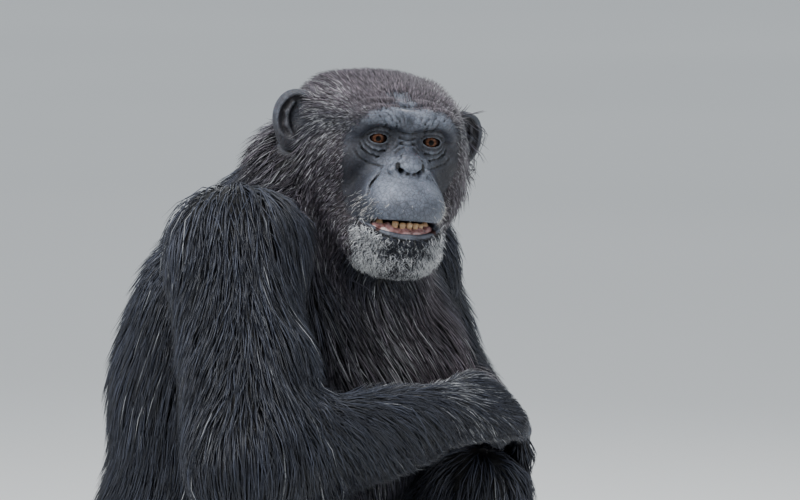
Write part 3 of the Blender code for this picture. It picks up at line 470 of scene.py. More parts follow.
def earClay(voxel, side):
    clay = Clay((-0.045, -0.035, -0.045), (0.045, 0.035, 0.045), voxel, headPlace @ earPlace(side))
    clay.ball((0.002 * side, 0, 0), (0.0215, 0.0085, 0.0315))
    clay.ball((0.010 * side, -0.003, 0.006), (0.0175, 0.0075, 0.0235), 0.006)
    clay.limb((-0.016 * side, 0.002, -0.004), (-0.026 * side, 0.002, -0.002), 0.010, 0.011, 0.008)
    clay.ball((0.003 * side, -0.0085, 0.004), (0.0165, 0.0085, 0.0225), 0.002, True)
    clay.ball((-0.008 * side, -0.008, -0.010), (0.008, 0.009, 0.010), 0.002, True)
    inner = [(0.010, -0.0045, 0.017), (0.013, -0.0040, 0.006), (0.010, -0.0040, -0.006), (0.002, -0.0040, -0.014)]
    clay.chain(mirrored(inner, side), [0.0018, 0.0024, 0.0024, 0.0016], 0.003)   # the inner fold of the cup
    clay.ball((-0.013 * side, -0.0065, -0.003), (0.0050, 0.0045, 0.0075), 0.003)   # the flap before the ear's hole
    clay.ball((-0.0085 * side, -0.003, -0.001), (0.0032, 0.0080, 0.0042), 0.002, True)
    return clay


# Trunk and limbs, without their coat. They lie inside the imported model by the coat's depth.
def bodyClay():
    return Clay((-0.40, -0.40, -0.03), (0.40, 0.25, 0.70), detail["body"])


def trunkClay():
    clay = bodyClay()
    clay.ball((0, 0.068, 0.110), (0.130, 0.122, 0.104))
    for side in (-1.0, 1.0):
        clay.ball((side * 0.070, 0.080, 0.085), (0.082, 0.100, 0.080), 0.03)
    clay.ball((0, 0.045, 0.270), (0.146, 0.158, 0.150), 0.05)
    clay.ball((0, 0.010, 0.435), (0.150, 0.168, 0.152), 0.05)
    clay.ball((0, 0.034, 0.525), (0.136, 0.094, 0.090), 0.04)
    clay.limb(pose["shoulder"]["R"], pose["shoulder"]["L"], 0.048, 0.048, 0.05)
    for side in (-1.0, 1.0):
        clay.ball((side * 0.066, -0.074, 0.510), (0.064, 0.050, 0.060), 0.03)
    clay.ball((0.070, -0.098, 0.450), (0.062, 0.056, 0.070), 0.03)
    clay.limb(pose["neckBase"], (-0.010, -0.080, 0.650), 0.072, 0.064, 0.05)
    clay.limb((0, 0.028, 0.575), (-0.006, -0.055, 0.665), 0.056, 0.046, 0.04)
    clay.limb((-0.004, -0.095, 0.560), (-0.028, -0.128, 0.618), 0.054, 0.044, 0.04)
    clay.ball((-0.048, -0.036, 0.676), 0.026, 0.03)
    clay.ball((0.034, -0.030, 0.662), 0.026, 0.03)
    return clay


def addArm(clay, side):
    shoulder, elbow, wrist = (pose[name][side] for name in ("shoulder", "elbow", "wrist"))
    clay.ball(shoulder, (0.062, 0.062, 0.064), 0.02)
    clay.limb(shoulder, elbow, 0.056, 0.046, 0.02)
    front = mixed(wrist, elbow, 0.5) - mixed(shoulder, elbow, 0.5)
    front = front / np.linalg.norm(front)
    clay.ball(mixed(shoulder, elbow, 0.50) + 0.026 * front, 0.050, 0.02)
    clay.ball(mixed(shoulder, elbow, 0.80) + 0.020 * front, 0.046, 0.02)
    clay.ball(elbow, 0.040, 0.02)
    spots = [elbow, mixed(elbow, wrist, 0.30), mixed(elbow, wrist, 0.70), wrist]
    clay.chain(spots, [0.044, 0.046, 0.035, 0.026], 0.008)


def addLeg(clay, side):
    hip, knee, ankle = (pose[name][side] for name in ("hip", "knee", "ankle"))
    clay.chain([hip, mixed(hip, knee, 0.45), knee], [0.078, 0.072, 0.048], 0.012)
    clay.ball(knee, 0.047, 0.012)
    back = vec(0, 0.022, 0)
    spots = [knee, mixed(knee, ankle, 0.32) + back, mixed(knee, ankle, 0.75), ankle]
    clay.chain(spots, [0.042, 0.044, 0.031, 0.027], 0.012)


hands = dict(
    finger=0.0095, lastFinger=0.88, stretch=(0.94, 1.06, 1.0, 0.82),
    knuckles={"R": (0.036, -0.228, 0.436), "L": (0.106, -0.160, 0.392)},
    across={"R": (0.22, -0.72, -0.62), "L": (-0.52, 0.42, -0.30)},
    curl={"R": [(0.036, 0.010, -0.014), (0.016, 0.010, -0.028), (0.000, 0.006, -0.021)],
          "L": [(-0.022, -0.020, -0.018), (-0.006, 0.000, -0.026), (0.006, 0.012, -0.016)]},
    thumb={"R": [(0.030, -0.018, -0.022), (0.020, -0.006, -0.020)],
           "L": [(-0.026, -0.012, -0.010), (-0.016, -0.016, -0.004)]},
)
nailSpots = []   # the last joint of each digit: its start, its tip, its radius and which way its back faces


def handClay(side, voxel):
    wrist, knuckles = floats(pose["wrist"][side]), floats(hands["knuckles"][side])
    across = floats(Vector(hands["across"][side]).normalized())
    curl, thumb = floats(hands["curl"][side]), floats(hands["thumb"][side])
    clay = Clay(np.minimum(wrist, knuckles) - 0.11, np.maximum(wrist, knuckles) + 0.11, voxel)
    clay.limb(wrist - (knuckles - wrist) * 0.25, wrist, 0.024, 0.023)
    away = np.cross(across, knuckles - wrist)
    away = away / np.linalg.norm(away)
    away = away * (1 if np.dot(away, curl[1]) < 0 else -1)   # out of the back of the hand
    for i in range(4):
        place = (i - 1.5) / 1.5
        knuckle = knuckles + across * 0.028 * place - (knuckles - wrist) * 0.10 * place**2
        clay.limb(wrist + across * 0.014 * place, knuckle, 0.0155, 0.0125, 0.012)
        size = hands["finger"] * (1.0 if i < 3 else hands["lastFinger"])
        spot = knuckle
        for j, step in enumerate(curl):
            after = spot + step * hands["stretch"][i]
            clay.limb(spot, after, size * (1.08 - 0.08 * j), size * (1.0 - 0.08 * j), 0.003)
            if j < 2:
                clay.ball(after, size * (1.10 - 0.08 * j), 0.002)   # the knuckle of each joint
            else:
                bend = curl[1] / np.linalg.norm(curl[1]) + curl[0] / np.linalg.norm(curl[0])
                nailSpots.append((spot, after, size * 0.84, bend))
            spot = after
    spot = mixed(wrist, knuckles, 0.30) - across * 0.020
    for j, step in enumerate(thumb):
        after = spot + step
        clay.limb(spot, after, 0.0105 - 0.001 * j, 0.0095 - 0.001 * j, 0.006)
        if j == 1:
            nailSpots.append((spot, after, 0.0085, away))
        spot = after
    return clay


feet = dict(turn={"R": -12.0, "L": 16.0},
            bigToe=[(-0.012, -0.020, 0.026), (-0.038, -0.060, 0.018), (-0.052, -0.098, 0.013)])


def footClay(side, voxel):
    sign, ankle = signs[side], pose["ankle"][side]
    place = Matrix.Translation((ankle[0], ankle[1], 0.0)) @ turned(feet["turn"][side], "Z")
    clay = Clay((-0.08, -0.21, -0.02), (0.08, 0.09, 0.14), voxel, place)
    clay.limb((0, 0, ankle[2] + 0.03), (0, 0.004, ankle[2]), 0.026, 0.026)
    clay.limb((0, 0.004, ankle[2]), (0, 0.026, 0.026), 0.026, 0.0275, 0.015)
    clay.limb((0, -0.010, 0.052), (0, -0.095, 0.026), 0.029, 0.020, 0.015)
    up = place.to_3x3() @ Vector((0, 0, 1))
    for i in range(4):
        share = (i - 1.5) / 1.5
        start = vec(sign * 0.024 * share + sign * 0.004, -0.082, 0.020)
        mid = start + vec(sign * 0.004 * share, -0.036, 0.005)
        tip = mid + vec(0, -0.030 + 0.006 * abs(share), -0.011)
        clay.limb((sign * 0.010 * share, -0.02, 0.026), start, 0.018, 0.0135, 0.012)
        clay.limb(start, mid, 0.0115, 0.0105, 0.004)
        clay.ball(mid, 0.0112, 0.002)
        clay.limb(mid, tip, 0.0100, 0.0092, 0.003)
        nailSpots.append((place @ Vector(mid), place @ Vector(tip), 0.0092, up))
    heel, ball, end = mirrored(feet["bigToe"], sign)
    clay.limb(heel, ball, 0.020, 0.015, 0.012)
    clay.limb(ball, end, 0.0135, 0.0115, 0.006)
    nailSpots.append((place @ Vector(ball), place @ Vector(end), 0.0115, up))
    return clay


# The whole skin as one closed mesh.
def aboveFloor(obj, height=0.0004):
    work = bmesh.new()
    bmesh.ops.create_cube(work, size=2.0, matrix=Matrix.Translation((0, 0, height - 1.0)))
    block = addObject("block", closed(work, "block"))
    cut = obj.modifiers.new("Floor", "BOOLEAN")
    cut.operation, cut.solver, cut.object = "DIFFERENCE", "MANIFOLD", block
    applied(obj)
    bpy.data.objects.remove(block)


# The voxels of each form, and those of the distances round the skin, with how far out they reach
detail = dict(face=0.00131, skull=0.0045, ear=0.0019, hand=0.0030, foot=0.0038, body=0.0135, around=0.0042, reach=0.046)


def buildSkin(material):
    body = trunkClay()
    for side in signs:
        for add, blend in ((addArm, 0.012), (addLeg, 0.020)):
            limb = bodyClay()
            add(limb, side)
            body.field = softMin(body.field, limb.field, blend)
    skin = addObject("skin", body.mesh("skin"))
    report("body")
    forms = [addObject("form", headClay(detail["skull"]).mesh("form")),
             addObject("form", headClay(detail["face"], face["front"]).mesh("form"))]
    report("head")
    for side, sign in signs.items():
        forms.append(addObject("form", earClay(detail["ear"], sign).mesh("form")))
        forms.append(addObject("form", handClay(side, detail["hand"]).mesh("form")))
        forms.append(addObject("form", footClay(side, detail["foot"]).mesh("form")))
    joined(skin, forms)
    aboveFloor(skin)
    dress(skin.data, material)
    skin.data.shade_smooth()
    report("skin joined, %d triangles" % triangleCount(skin))
    return skin


# Where on the animal a point lies: each bone's ends and its thickness.
def bones():
    found = {"trunk": ((0, 0.050, 0.08), (0, 0.020, 0.53), 0.140),
             "neck": (pose["neckBase"], (-0.010, -0.080, 0.655), 0.070)}
    for side in signs:
        shoulder, elbow, wrist = (pose[name][side] for name in ("shoulder", "elbow", "wrist"))
        hip, knee, ankle = (pose[name][side] for name in ("hip", "knee", "ankle"))
        tip = {"R": (0.075, -0.215, 0.400), "L": (0.075, -0.175, 0.370)}[side]
        toe = (ankle[0] + signs[side] * 0.02, ankle[1] - 0.13, 0.02)
        found["upper" + side] = (shoulder, elbow, 0.054)
        found["fore" + side] = (elbow, wrist, 0.040)
        found["hand" + side] = (mixed(wrist, tip, 0.12), tip, 0.022)
        found["thigh" + side] = (hip, knee, 0.066)
        found["shank" + side] = (knee, ankle, 0.040)
        found["foot" + side] = ((ankle[0], ankle[1], 0.045), toe, 0.024)
    return found


boneTable = bones()
boneNames = list(boneTable) + ["head"]


def boneShares(points):   # how far each point belongs to each bone, the last of them the head
    gaps = []
    for start, end, radius in boneTable.values():
        start, end = floats(start), floats(end)
        along = end - start
        share = np.clip((points - start) @ along / (along @ along), 0.0, 1.0)
        gaps.append(np.linalg.norm(points - start - share[:, None] * along, axis=1) - radius)
    h = inHead(points)
    skull = (np.linalg.norm((h - vec(0, -0.025, -0.030)) / vec(0.070, 0.095, 0.088), axis=1) - 1.0) * 0.08
    ears = np.linalg.norm(np.abs(h) * vec(1, 0, 0) + h * vec(0, 1, 1) - vec(0.088, 0.004, 0.002), axis=1) - 0.040
    gaps = np.array(gaps + [np.minimum(skull, ears)]).T
    weights = np.exp(-(gaps - gaps.min(axis=1, keepdims=True)) / 0.010)
    return weights / weights.sum(axis=1, keepdims=True)


def backFrom(place, points):   # points in the frame that the matrix place stands for
    back = np.array(place.inverted())
    return points @ back[:3, :3].T + back[:3, 3]


def inHead(points):
    return backFrom(headPlace, points)


def unit(vectors):
    return vectors / (np.linalg.norm(vectors, axis=-1, keepdims=True) + 1e-9)


def bareFace(h):   # 1 where the face is bare, 0 where the coat covers it, from points in the head's frame
    x, y, z = np.abs(h[:, 0]), h[:, 1], h[:, 2]
    high = np.where(z > -0.020, 0.0535, 0.0850)
    wide = 0.0590 - 0.0055 * smooth(-z, 0.020, 0.060)
    oval = (x / wide) ** 2.6 + (np.abs(z + 0.020) / high) ** 2.6
    front = smooth(-y, 0.028, 0.044)
    lipLine = -0.0918 + 0.0095 * (np.minimum(x, 0.048) / 0.0385) ** 2
    patch = (1 - smooth(x, 0.007, 0.019)) * smooth(z, 0.022, 0.028) * (1 - smooth(z, 0.038, 0.050))
    patch = patch * smooth(-y, 0.02, 0.045)
    face = (1 - smooth(oval, 0.68, 1.25)) * front * (1 - smooth(lipLine - z, 0.0, 0.0020))
    return np.maximum(face, patch * 0.78)


def bareEar(h):
    x, y, z = np.abs(h[:, 0]), h[:, 1], h[:, 2]
    near = np.sqrt(((x - 0.088) / 0.030) ** 2 + ((y - 0.004) / 0.024) ** 2 + ((z - 0.002) / 0.036) ** 2)
    return (1 - smooth(near, 0.92, 1.12)) * smooth(x, 0.060, 0.068) * np.where(h[:, 0] < 0, 1.0, 0.85)


def earCup(h):   # 1 in the hollow of each ear, 0 on its rim and back
    cup = np.zeros(len(h), np.float32)
    for side in (-1.0, 1.0):
        x, y, z = backFrom(earPlace(side), h).T
        across = np.sqrt(((x - 0.003 * side) / 0.0175) ** 2 + ((z - 0.004) / 0.0240) ** 2)
        hollow = (1 - smooth(across, 0.86, 1.02)) * (1 - smooth(y, -0.0045, -0.0015))
        cup = np.maximum(cup, hollow * (h[:, 0] * side > 0.055))
    return cup


def markings(points):   # the bare skin and the colours that skin and coat share
    h = inHead(points)
    shares = boneShares(points)
    head = shares[:, -1]
    x, y, z = np.abs(h[:, 0]), h[:, 1], h[:, 2]
    forward, up = -points[:, 1], points[:, 2]
    bare = np.maximum(bareFace(h), bareEar(h)) * smooth(head, 0.3, 0.6)
    atWrist = np.zeros(len(points), np.float32)
    for side in signs:
        fore, hand, foot = (shares[:, boneNames.index(name + side)] for name in ("fore", "hand", "foot"))
        start, end, _ = boneTable["hand" + side]
        along = floats(end) - floats(start)
        share = (points - floats(start)) @ along / (along @ along)
        bare = np.maximum(bare, smooth(hand, 0.45, 0.75) * smooth(share, 0.42, 0.66))
        near = 1 - smooth(np.linalg.norm(points - floats(pose["wrist"][side]), axis=1), 0.020, 0.090)
        atWrist = np.maximum(atWrist, near * (fore + hand))
        toes = smooth(pose["ankle"][side][1] - 0.045 + forward, 0.0, 0.040)
        sole = 1 - smooth(up, 0.010, 0.022)
        bare = np.maximum(bare, smooth(foot, 0.4, 0.7) * np.maximum(toes, sole))
    throat = smooth(forward, 0.09, 0.15) * shares[:, 0] * smooth(up, 0.36, 0.44)
    throat = shares[:, 1] * smooth(forward, 0.04, 0.10) + throat
    streak = np.exp(-((points[:, 0] + 0.046) / 0.034) ** 2 - ((up - 0.492) / 0.060) ** 2) * smooth(forward, 0.07, 0.12)
    return dict(
        h=h, shares=shares, head=head, atWrist=np.clip(atWrist, 0, 1), bare=np.clip(bare, 0, 1),
        jaw=smooth(-z, 0.0740, 0.0860) * smooth(-y, 0.056, 0.072) * (1 - smooth(x, 0.036, 0.049)) * head,
        cheek=smooth(x, 0.030, 0.046) * (1 - smooth(z, -0.010, 0.016)) * head,
        crown=smooth(z, 0.006, 0.034) * head,
        throat=np.clip(throat, 0, 1),   # the front of the neck and the top of the chest
        streak=streak * (1 - head),   # white hairs beside the throat
    )


# Hair by hair: how long, how wide and how close it is, how far it lifts and how it lies, for each part of the body.
coat = dict(
    #      length  width   close  lift    lay along the bone, which trunk, neck and head don't read
    trunk=(0.078, 0.00155, 1.00, 0.0150, 0.30),
    neck=(0.042, 0.00135, 1.35, 0.0080, 0.40),
    upper=(0.078, 0.00142, 1.15, 0.0150, 0.58),
    fore=(0.064, 0.00130, 1.35, 0.0130, 0.50),
    hand=(0.020, 0.00110, 3.00, 0.0035, 0.95),
    thigh=(0.062, 0.00155, 0.95, 0.0130, -0.30),
    shank=(0.050, 0.00145, 1.05, 0.0110, 0.55),
    foot=(0.016, 0.00120, 1.60, 0.0030, 0.95),
    head=(0.026, 0.00092, 3.20, 0.0090, 0.00),
)
# The paths of the hairs. Tufts shorter than shortUnder are the short kind, and most is a piece's count of triangles.
tufts = dict(
    counts=dict(long=52500, short=40500), seed=11, colourSeed=5, spans=3, profile=(0.90, 1.0, 0.70), most=190000,
    shortUnder=0.040, bareUnder=0.004, length=(0.70, 1.18), lift=(0.55, 1.25), width=(0.75, 1.20),
    swing=0.15, stray=0.05, straySwing=3, strayFlare=0.25, sunk=0.0012, least=0.0006, floor=0.0018, sag=0.25,
    clumpSize=dict(long=0.0130, short=0.0065), clump=dict(long=0.9, short=0.6), clumpRange=(0.20, 0.75),
)


class Around:   # distance and outward direction of the skin, anywhere near it
    def __init__(self, mesh, voxel, reach):
        mesh.calc_loop_triangles()
        self.points = readAll(mesh.vertices, "co", 3)
        self.triangles = readAll(mesh.loop_triangles, "vertices", 3, np.int32)
        self.voxel, self.low = voxel, self.points.min(axis=0) - reach
        counts = np.ceil((self.points.max(axis=0) + reach - self.low) / voxel).astype(int)
        inGrid = (self.points - self.low) / voxel
        grid = openvdb.FloatGrid.createLevelSetFromPolygons(
            inGrid.astype(np.float32), triangles=self.triangles.astype(np.uint32), halfWidth=reach / voxel)
        self.field = np.zeros(counts, np.float32)
        grid.copyToArray(self.field)
        self.field *= voxel

    def distance(self, points):
        spot = np.clip((points - self.low) / self.voxel, 0, np.array(self.field.shape) - 1.001)
        base = spot.astype(int)
        i, j, k = base.T
        x, y, z = ((1 - part, part) for part in (spot - base).T)
        total = 0.0
        for a, b, c in np.ndindex(2, 2, 2):
            total = total + x[a] * y[b] * z[c] * self.field[i + a, j + b, k + c]
        return total

    def outward(self, points):
        moves = np.eye(3, dtype=np.float32) * np.float32(self.voxel * 1.2)
        return unit(np.stack([self.distance(points + move) - self.distance(points - move) for move in moves], axis=1))


def kindOf(name):   # a bone's name without its side
    return name[:-1] if name[-1] in signs else name


def lieOfCoat(points, normals, marks):   # the direction in which the hair lies at each point
    shares, h = marks["shares"], marks["h"]
    flow = np.zeros_like(points)
    down = vec(0, 0, -1)
    for number, (name, (start, end, _)) in enumerate(boneTable.items()):
        along = unit(floats(end) - floats(start))
        kind = kindOf(name)
        lay = coat[kind][4]
        if kind == "trunk":
            chest = smooth(-points[:, 1], 0.02, 0.12)[:, None]
            way = down + chest * vec(0.42, -0.10, 0.0) + (1 - chest) * vec(0, 0.12, 0)
        elif kind == "neck":
            front = smooth(-points[:, 1], 0.03, 0.10)[:, None]
            way = down + front * vec(0.20, -0.15, 0) + (1 - front) * vec(0, 0.35, 0)
        elif kind == "thigh":
            way = np.tile(down * 0.75 + along * lay, (len(points), 1))
        else:
            way = np.tile(along * lay + down * (1 - lay), (len(points), 1))
        if kind == "upper":   # the coat of the upper arm swings out behind the elbow
            way = way + smooth((points - floats(start)) @ along, 0.10, 0.24)[:, None] * vec(0, 0.10, -0.25)
        flow += shares[:, number:number + 1] * unit(way)
    side = np.sign(h[:, 0:1] + 1e-6)
    crown = smooth(h[:, 2], 0.000, 0.030)[:, None]
    chin = (smooth(-h[:, 1], 0.045, 0.080) * smooth(-h[:, 2], 0.070, 0.090))[:, None]
    toCheek = side * vec(0.55, 0, 0) + vec(0, 0.50, -0.80)
    toBack = vec(0, 1.0, -0.10) + vec(1, 0, 0) * h[:, 0:1] / 0.06 * 0.35
    toChin = vec(0, -0.10, -1.0) + vec(1, 0, 0) * h[:, 0:1] / 0.04 * 0.35
    way = toCheek * (1 - crown) + toBack * crown
    way = way * (1 - chin) + toChin * chin
    flow += shares[:, -1:] * (unit(way) @ np.array(headPlace.to_3x3()).T)
    flow = flow - normals * np.sum(flow * normals, axis=1, keepdims=True)
    return unit(flow)


def settingsAt(marks):   # length, width, closeness, lift and how far the hair stands out, at each point
    shares, h = marks["shares"], marks["h"]
    length, width, close, lift, _ = (shares @ floats([coat[kindOf(name)] for name in boneNames])).T
    head, x, y, z = marks["head"], np.abs(h[:, 0]), h[:, 1], h[:, 2]
    flare = 0.10 + 0.04 * (1 - head)
    edge = smooth(1 - marks["bare"], 0.05, 0.95)
    beard = marks["jaw"]
    far = smooth(1 - marks["bare"], 0.30, 1.0) * smooth(y, -0.075, -0.020)
    temple = smooth(y, -0.052, -0.005) * smooth(x, 0.030, 0.052)
    cheekLength = 0.0050 + 0.011 * far + 0.034 * smooth(y, -0.056, -0.005) * (1 - 0.4 * smooth(z, -0.005, 0.020))
    crownLength = 0.0060 + 0.005 * smooth(z, 0.030, 0.048) + 0.008 * smooth(y, -0.055, 0.010) + 0.016 * temple
    crown = smooth(z, -0.005, 0.020)
    headLength = cheekLength * (1 - crown) + crownLength * crown
    headLength = headLength * (1 - beard) + (0.0100 + 0.0075 * smooth(x, 0.012, 0.034)) * beard
    length = length * (1 - head) + headLength * head
    length = length * (1 - 0.62 * marks["atWrist"])
    width = width * (1 - 0.30 * marks["atWrist"])
    lift = lift * (1 - 0.55 * marks["atWrist"])
    width = width * (1 - beard * 0.22) * (1 - 0.42 * head * smooth(headLength, 0.012, 0.005) * (1 - beard))
    close = close * (1 + 0.5 * beard + 0.8 * crown * head)
    flare = flare + head * (0.24 * marks["cheek"] * smooth(y, -0.060, -0.020) + 0.34 * crown + 0.42 * beard)
    sideLift = 0.20 * marks["cheek"] * smooth(y, -0.056, -0.010)
    lift = lift * (1 - head) + head * headLength * (0.26 + 0.12 * crown + 0.20 * beard + sideLift)
    return length, width, close * edge, lift, flare


def growCoat(around):   # roots spread by closeness, then hair paths that follow the skin, then clumps
    draw = np.random.default_rng(tufts["seed"])
    corners = around.points[around.triangles]
    sides = np.cross(corners[:, 1] - corners[:, 0], corners[:, 2] - corners[:, 0])
    area = np.linalg.norm(sides, axis=1) / 2
    middle = corners.mean(axis=1)
    length, _, close, _, _ = settingsAt(markings(middle))
    isShort = length < tufts["shortUnder"]
    pieces = []
    for kind, mine in (("long", ~isShort), ("short", isShort)):
        chance = area * close * (mine & (middle[:, 2] >= tufts["bareUnder"])) / np.maximum(length, 0.012) ** 0.5
        picked = draw.choice(len(area), tufts["counts"][kind], p=chance / chance.sum())
        a, b = draw.random((2, len(picked), 1)).astype(np.float32)
        fold = a + b > 1
        a, b = np.where(fold, 1 - a, a), np.where(fold, 1 - b, b)
        roots = corners[picked, 0] * (1 - a - b) + corners[picked, 1] * a + corners[picked, 2] * b
        pieces.append(hairPaths(roots, unit(sides[picked]), around, draw, kind))
    return pieces


def hairPaths(roots, normals, around, draw, kind):
    count, spans = len(roots), tufts["spans"]
    marks = markings(roots)
    length, width, _, lift, flare = settingsAt(marks)
    normals = unit(normals + around.outward(roots))
    length = length * draw.uniform(*tufts["length"], count)
    lift = lift * draw.uniform(*tufts["lift"], count)
    swing = draw.normal(0, tufts["swing"], count) * (1 + 2.2 * marks["jaw"] + 0.8 * marks["cheek"])
    wild = draw.random(count) < tufts["stray"]   # a few stray hairs stand out of the coat
    swing = np.where(wild, swing * tufts["straySwing"], swing)
    flare = np.where(wild, flare + tufts["strayFlare"], flare)
    curl = marks["jaw"] * 0.95 + 0.10
    phase = draw.uniform(0, 6.28, count)
    point = roots - normals * tufts["sunk"]
    stations, ups = [point], [normals]
    for step in range(spans):
        share = (step + 1) / spans
        towards = lieOfCoat(point if step else roots, normals, marks)
        across = unit(np.cross(normals, towards))
        bend = swing + curl * np.sin(phase + share * 4.5)
        way = towards * np.cos(bend)[:, None] + across * np.sin(bend)[:, None]
        rise = flare * (1 - 0.75 * share)
        way = unit(way + normals * rise[:, None] + vec(0, 0, -tufts["sag"]) * share * (1 - marks["head"])[:, None])
        point = point + way * (length / spans)[:, None]
        gap = around.distance(point)
        normals = around.outward(point)
        wanted = lift * share**1.15 + tufts["least"]
        drop = np.where(gap < wanted, 1.0, 0.35 * (1 - marks["head"]) + 0.10)
        point = point + normals * ((wanted - gap) * drop)[:, None]
        point[:, 2] = np.maximum(point[:, 2], tufts["floor"])
        stations.append(point)
        ups.append(normals)
    stations, ups = np.stack(stations, axis=1), np.stack(ups, axis=1)
    stations = clumped(stations, marks, draw, kind)
    width = width * draw.uniform(*tufts["width"], count)
    return dict(kind=kind, stations=stations, ups=ups, width=width, tone=draw.random(count), roots=roots, marks=marks)


def clumped(stations, marks, draw, kind):   # draws the tips of hairs that grow close together towards one another
    roots = stations[:, 0]
    cell = np.floor(roots / tufts["clumpSize"][kind] + 0.35 * np.sin(roots[:, [1, 2, 0]] * 260)).astype(np.int64)
    key = (cell[:, 0] * 73856093) ^ (cell[:, 1] * 19349663) ^ (cell[:, 2] * 83492791)
    group = np.unique(key, return_inverse=True)[1].reshape(-1)
    counts = np.bincount(group)
    strength = draw.uniform(*tufts["clumpRange"], len(counts))[group] * tufts["clump"][kind] * (1 - 0.7 * marks["jaw"])
    for i in range(1, tufts["spans"] + 1):
        middle = np.stack([np.bincount(group, stations[:, i, axis]) / counts for axis in range(3)], axis=1)
        pull = (strength * (i / tufts["spans"]) ** 1.4)[:, None]
        stations[:, i] = stations[:, i] * (1 - pull) + middle[group] * pull
    return stations


# The unwrap: a cylinder round each bone, each in its own box of the map: left, foot, width and height.
atlas = {"head": (0.0, 0.50, 0.50, 0.50), "trunk": (0.50, 0.50, 0.50, 0.25), "neck": (0.50, 0.75, 0.25, 0.25)}
for number, name in enumerate([name for name in boneNames if name not in atlas]):
    atlas[name] = (0.1666 * (number % 6), 0.25 * (number // 6), 0.1666, 0.25)


def unwrapped(points, group):   # a place on the unwrap for each point, by the bone that it is given
    spots = np.zeros((len(points), 2), np.float32)
    for number, name in enumerate(boneNames):
        mine = group == number
        if not mine.any():
            continue
        if name == "head":
            local = inHead(points[mine]) - vec(0, -0.020, -0.030)
            turn = np.arctan2(local[:, 0], -local[:, 1])
            rise = local[:, 2] / 0.11
        else:
            start, end, _ = boneTable[name]
            along = floats(end) - floats(start)
            size = np.linalg.norm(along)
            axis = along / size
            side = unit(np.cross(axis, vec(0.13, 0.99, 0.05)))
            other = np.cross(axis, side)
            local = points[mine] - floats(start)
            turn = np.arctan2(local @ side, local @ other)
            rise = (local @ axis / size - 0.5) / 0.9
        x, y, wide, high = atlas[name]
        spots[mine, 0] = x + wide * (0.5 + 0.47 * turn / math.pi)
        spots[mine, 1] = y + high * (0.5 + 0.47 * np.clip(rise, -1, 1))
    return spots


def setUnwrap(mesh, spots):
    mesh.uv_layers.new(name="OFBake").data.foreach_set("uv", spots.reshape(-1).astype(np.float32))


def floatAttribute(mesh, name, values):
    mesh.attributes.new(name, "FLOAT", "POINT").data.foreach_set("value", floats(values))


def hairMesh(name, hairs, chosen):   # three-sided tapered tufts as one mesh, with what their material reads
    stations, ups, width, tone, roots = (hairs[key][chosen] for key in ("stations", "ups", "width", "tone", "roots"))
    marks = {key: value[chosen] for key, value in hairs["marks"].items()}
    spans, count = tufts["spans"], len(stations)
    ways = unit(np.diff(stations, axis=1))
    rings = []
    for i in range(spans):
        way = ways[:, max(i - 1, 0)] + ways[:, i]
        across = unit(np.cross(ups[:, i], way))
        upward = unit(np.cross(way, across))
        half = width[:, None] * tufts["profile"][i] / 2
        rings += [stations[:, i] + across * half - upward * half * 0.35,
                  stations[:, i] - across * half - upward * half * 0.35,
                  stations[:, i] + upward * half * 0.80]
    points = np.stack(rings + [stations[:, spans]], axis=1).astype(np.float32)
    each, last = points.shape[1], 3 * (spans - 1)
    faces = []
    for i in range(spans - 1):
        for j in range(3):
            a, b = 3 * i + j, 3 * i + (j + 1) % 3
            faces += [(a, b, b + 3), (a, b + 3, a + 3)]
    faces += [(last + j, last + (j + 1) % 3, each - 1) for j in range(3)] + [(2, 1, 0)]
    corners = (np.array(faces, np.int32)[None] + (np.arange(count) * each)[:, None, None]).reshape(-1)
    mesh = bpy.data.meshes.new(name)
    mesh.vertices.add(count * each)
    mesh.vertices.foreach_set("co", points.reshape(-1))
    mesh.loops.add(len(corners))
    mesh.loops.foreach_set("vertex_index", corners)
    mesh.polygons.add(len(corners) // 3)
    mesh.polygons.foreach_set("loop_start", np.arange(0, len(corners), 3, dtype=np.int32))
    mesh.update(calc_edges=True)
    mesh.polygons.foreach_set("use_smooth", np.ones(len(corners) // 3, bool))
    along = floats([i / spans for i in range(spans) for _ in range(3)] + [1.0])
    frost, warm = hairColours(marks, roots)
    floatAttribute(mesh, "along", np.tile(along, count))
    for label, values in (("tone", tone), ("frost", frost), ("warm", warm)):
        floatAttribute(mesh, label, np.repeat(values, each))
    sideways = floats([j * 0.0015 for i in range(spans) for j in (0, 2, 1)] + [0.0015])
    patch = np.stack([sideways, along * 0.003], axis=1) - 0.0015
    base = unwrapped(roots, np.argmax(marks["shares"], axis=1))
    setUnwrap(mesh, (base[:, None] + patch[None]).reshape(-1, 2)[corners])
    return mesh


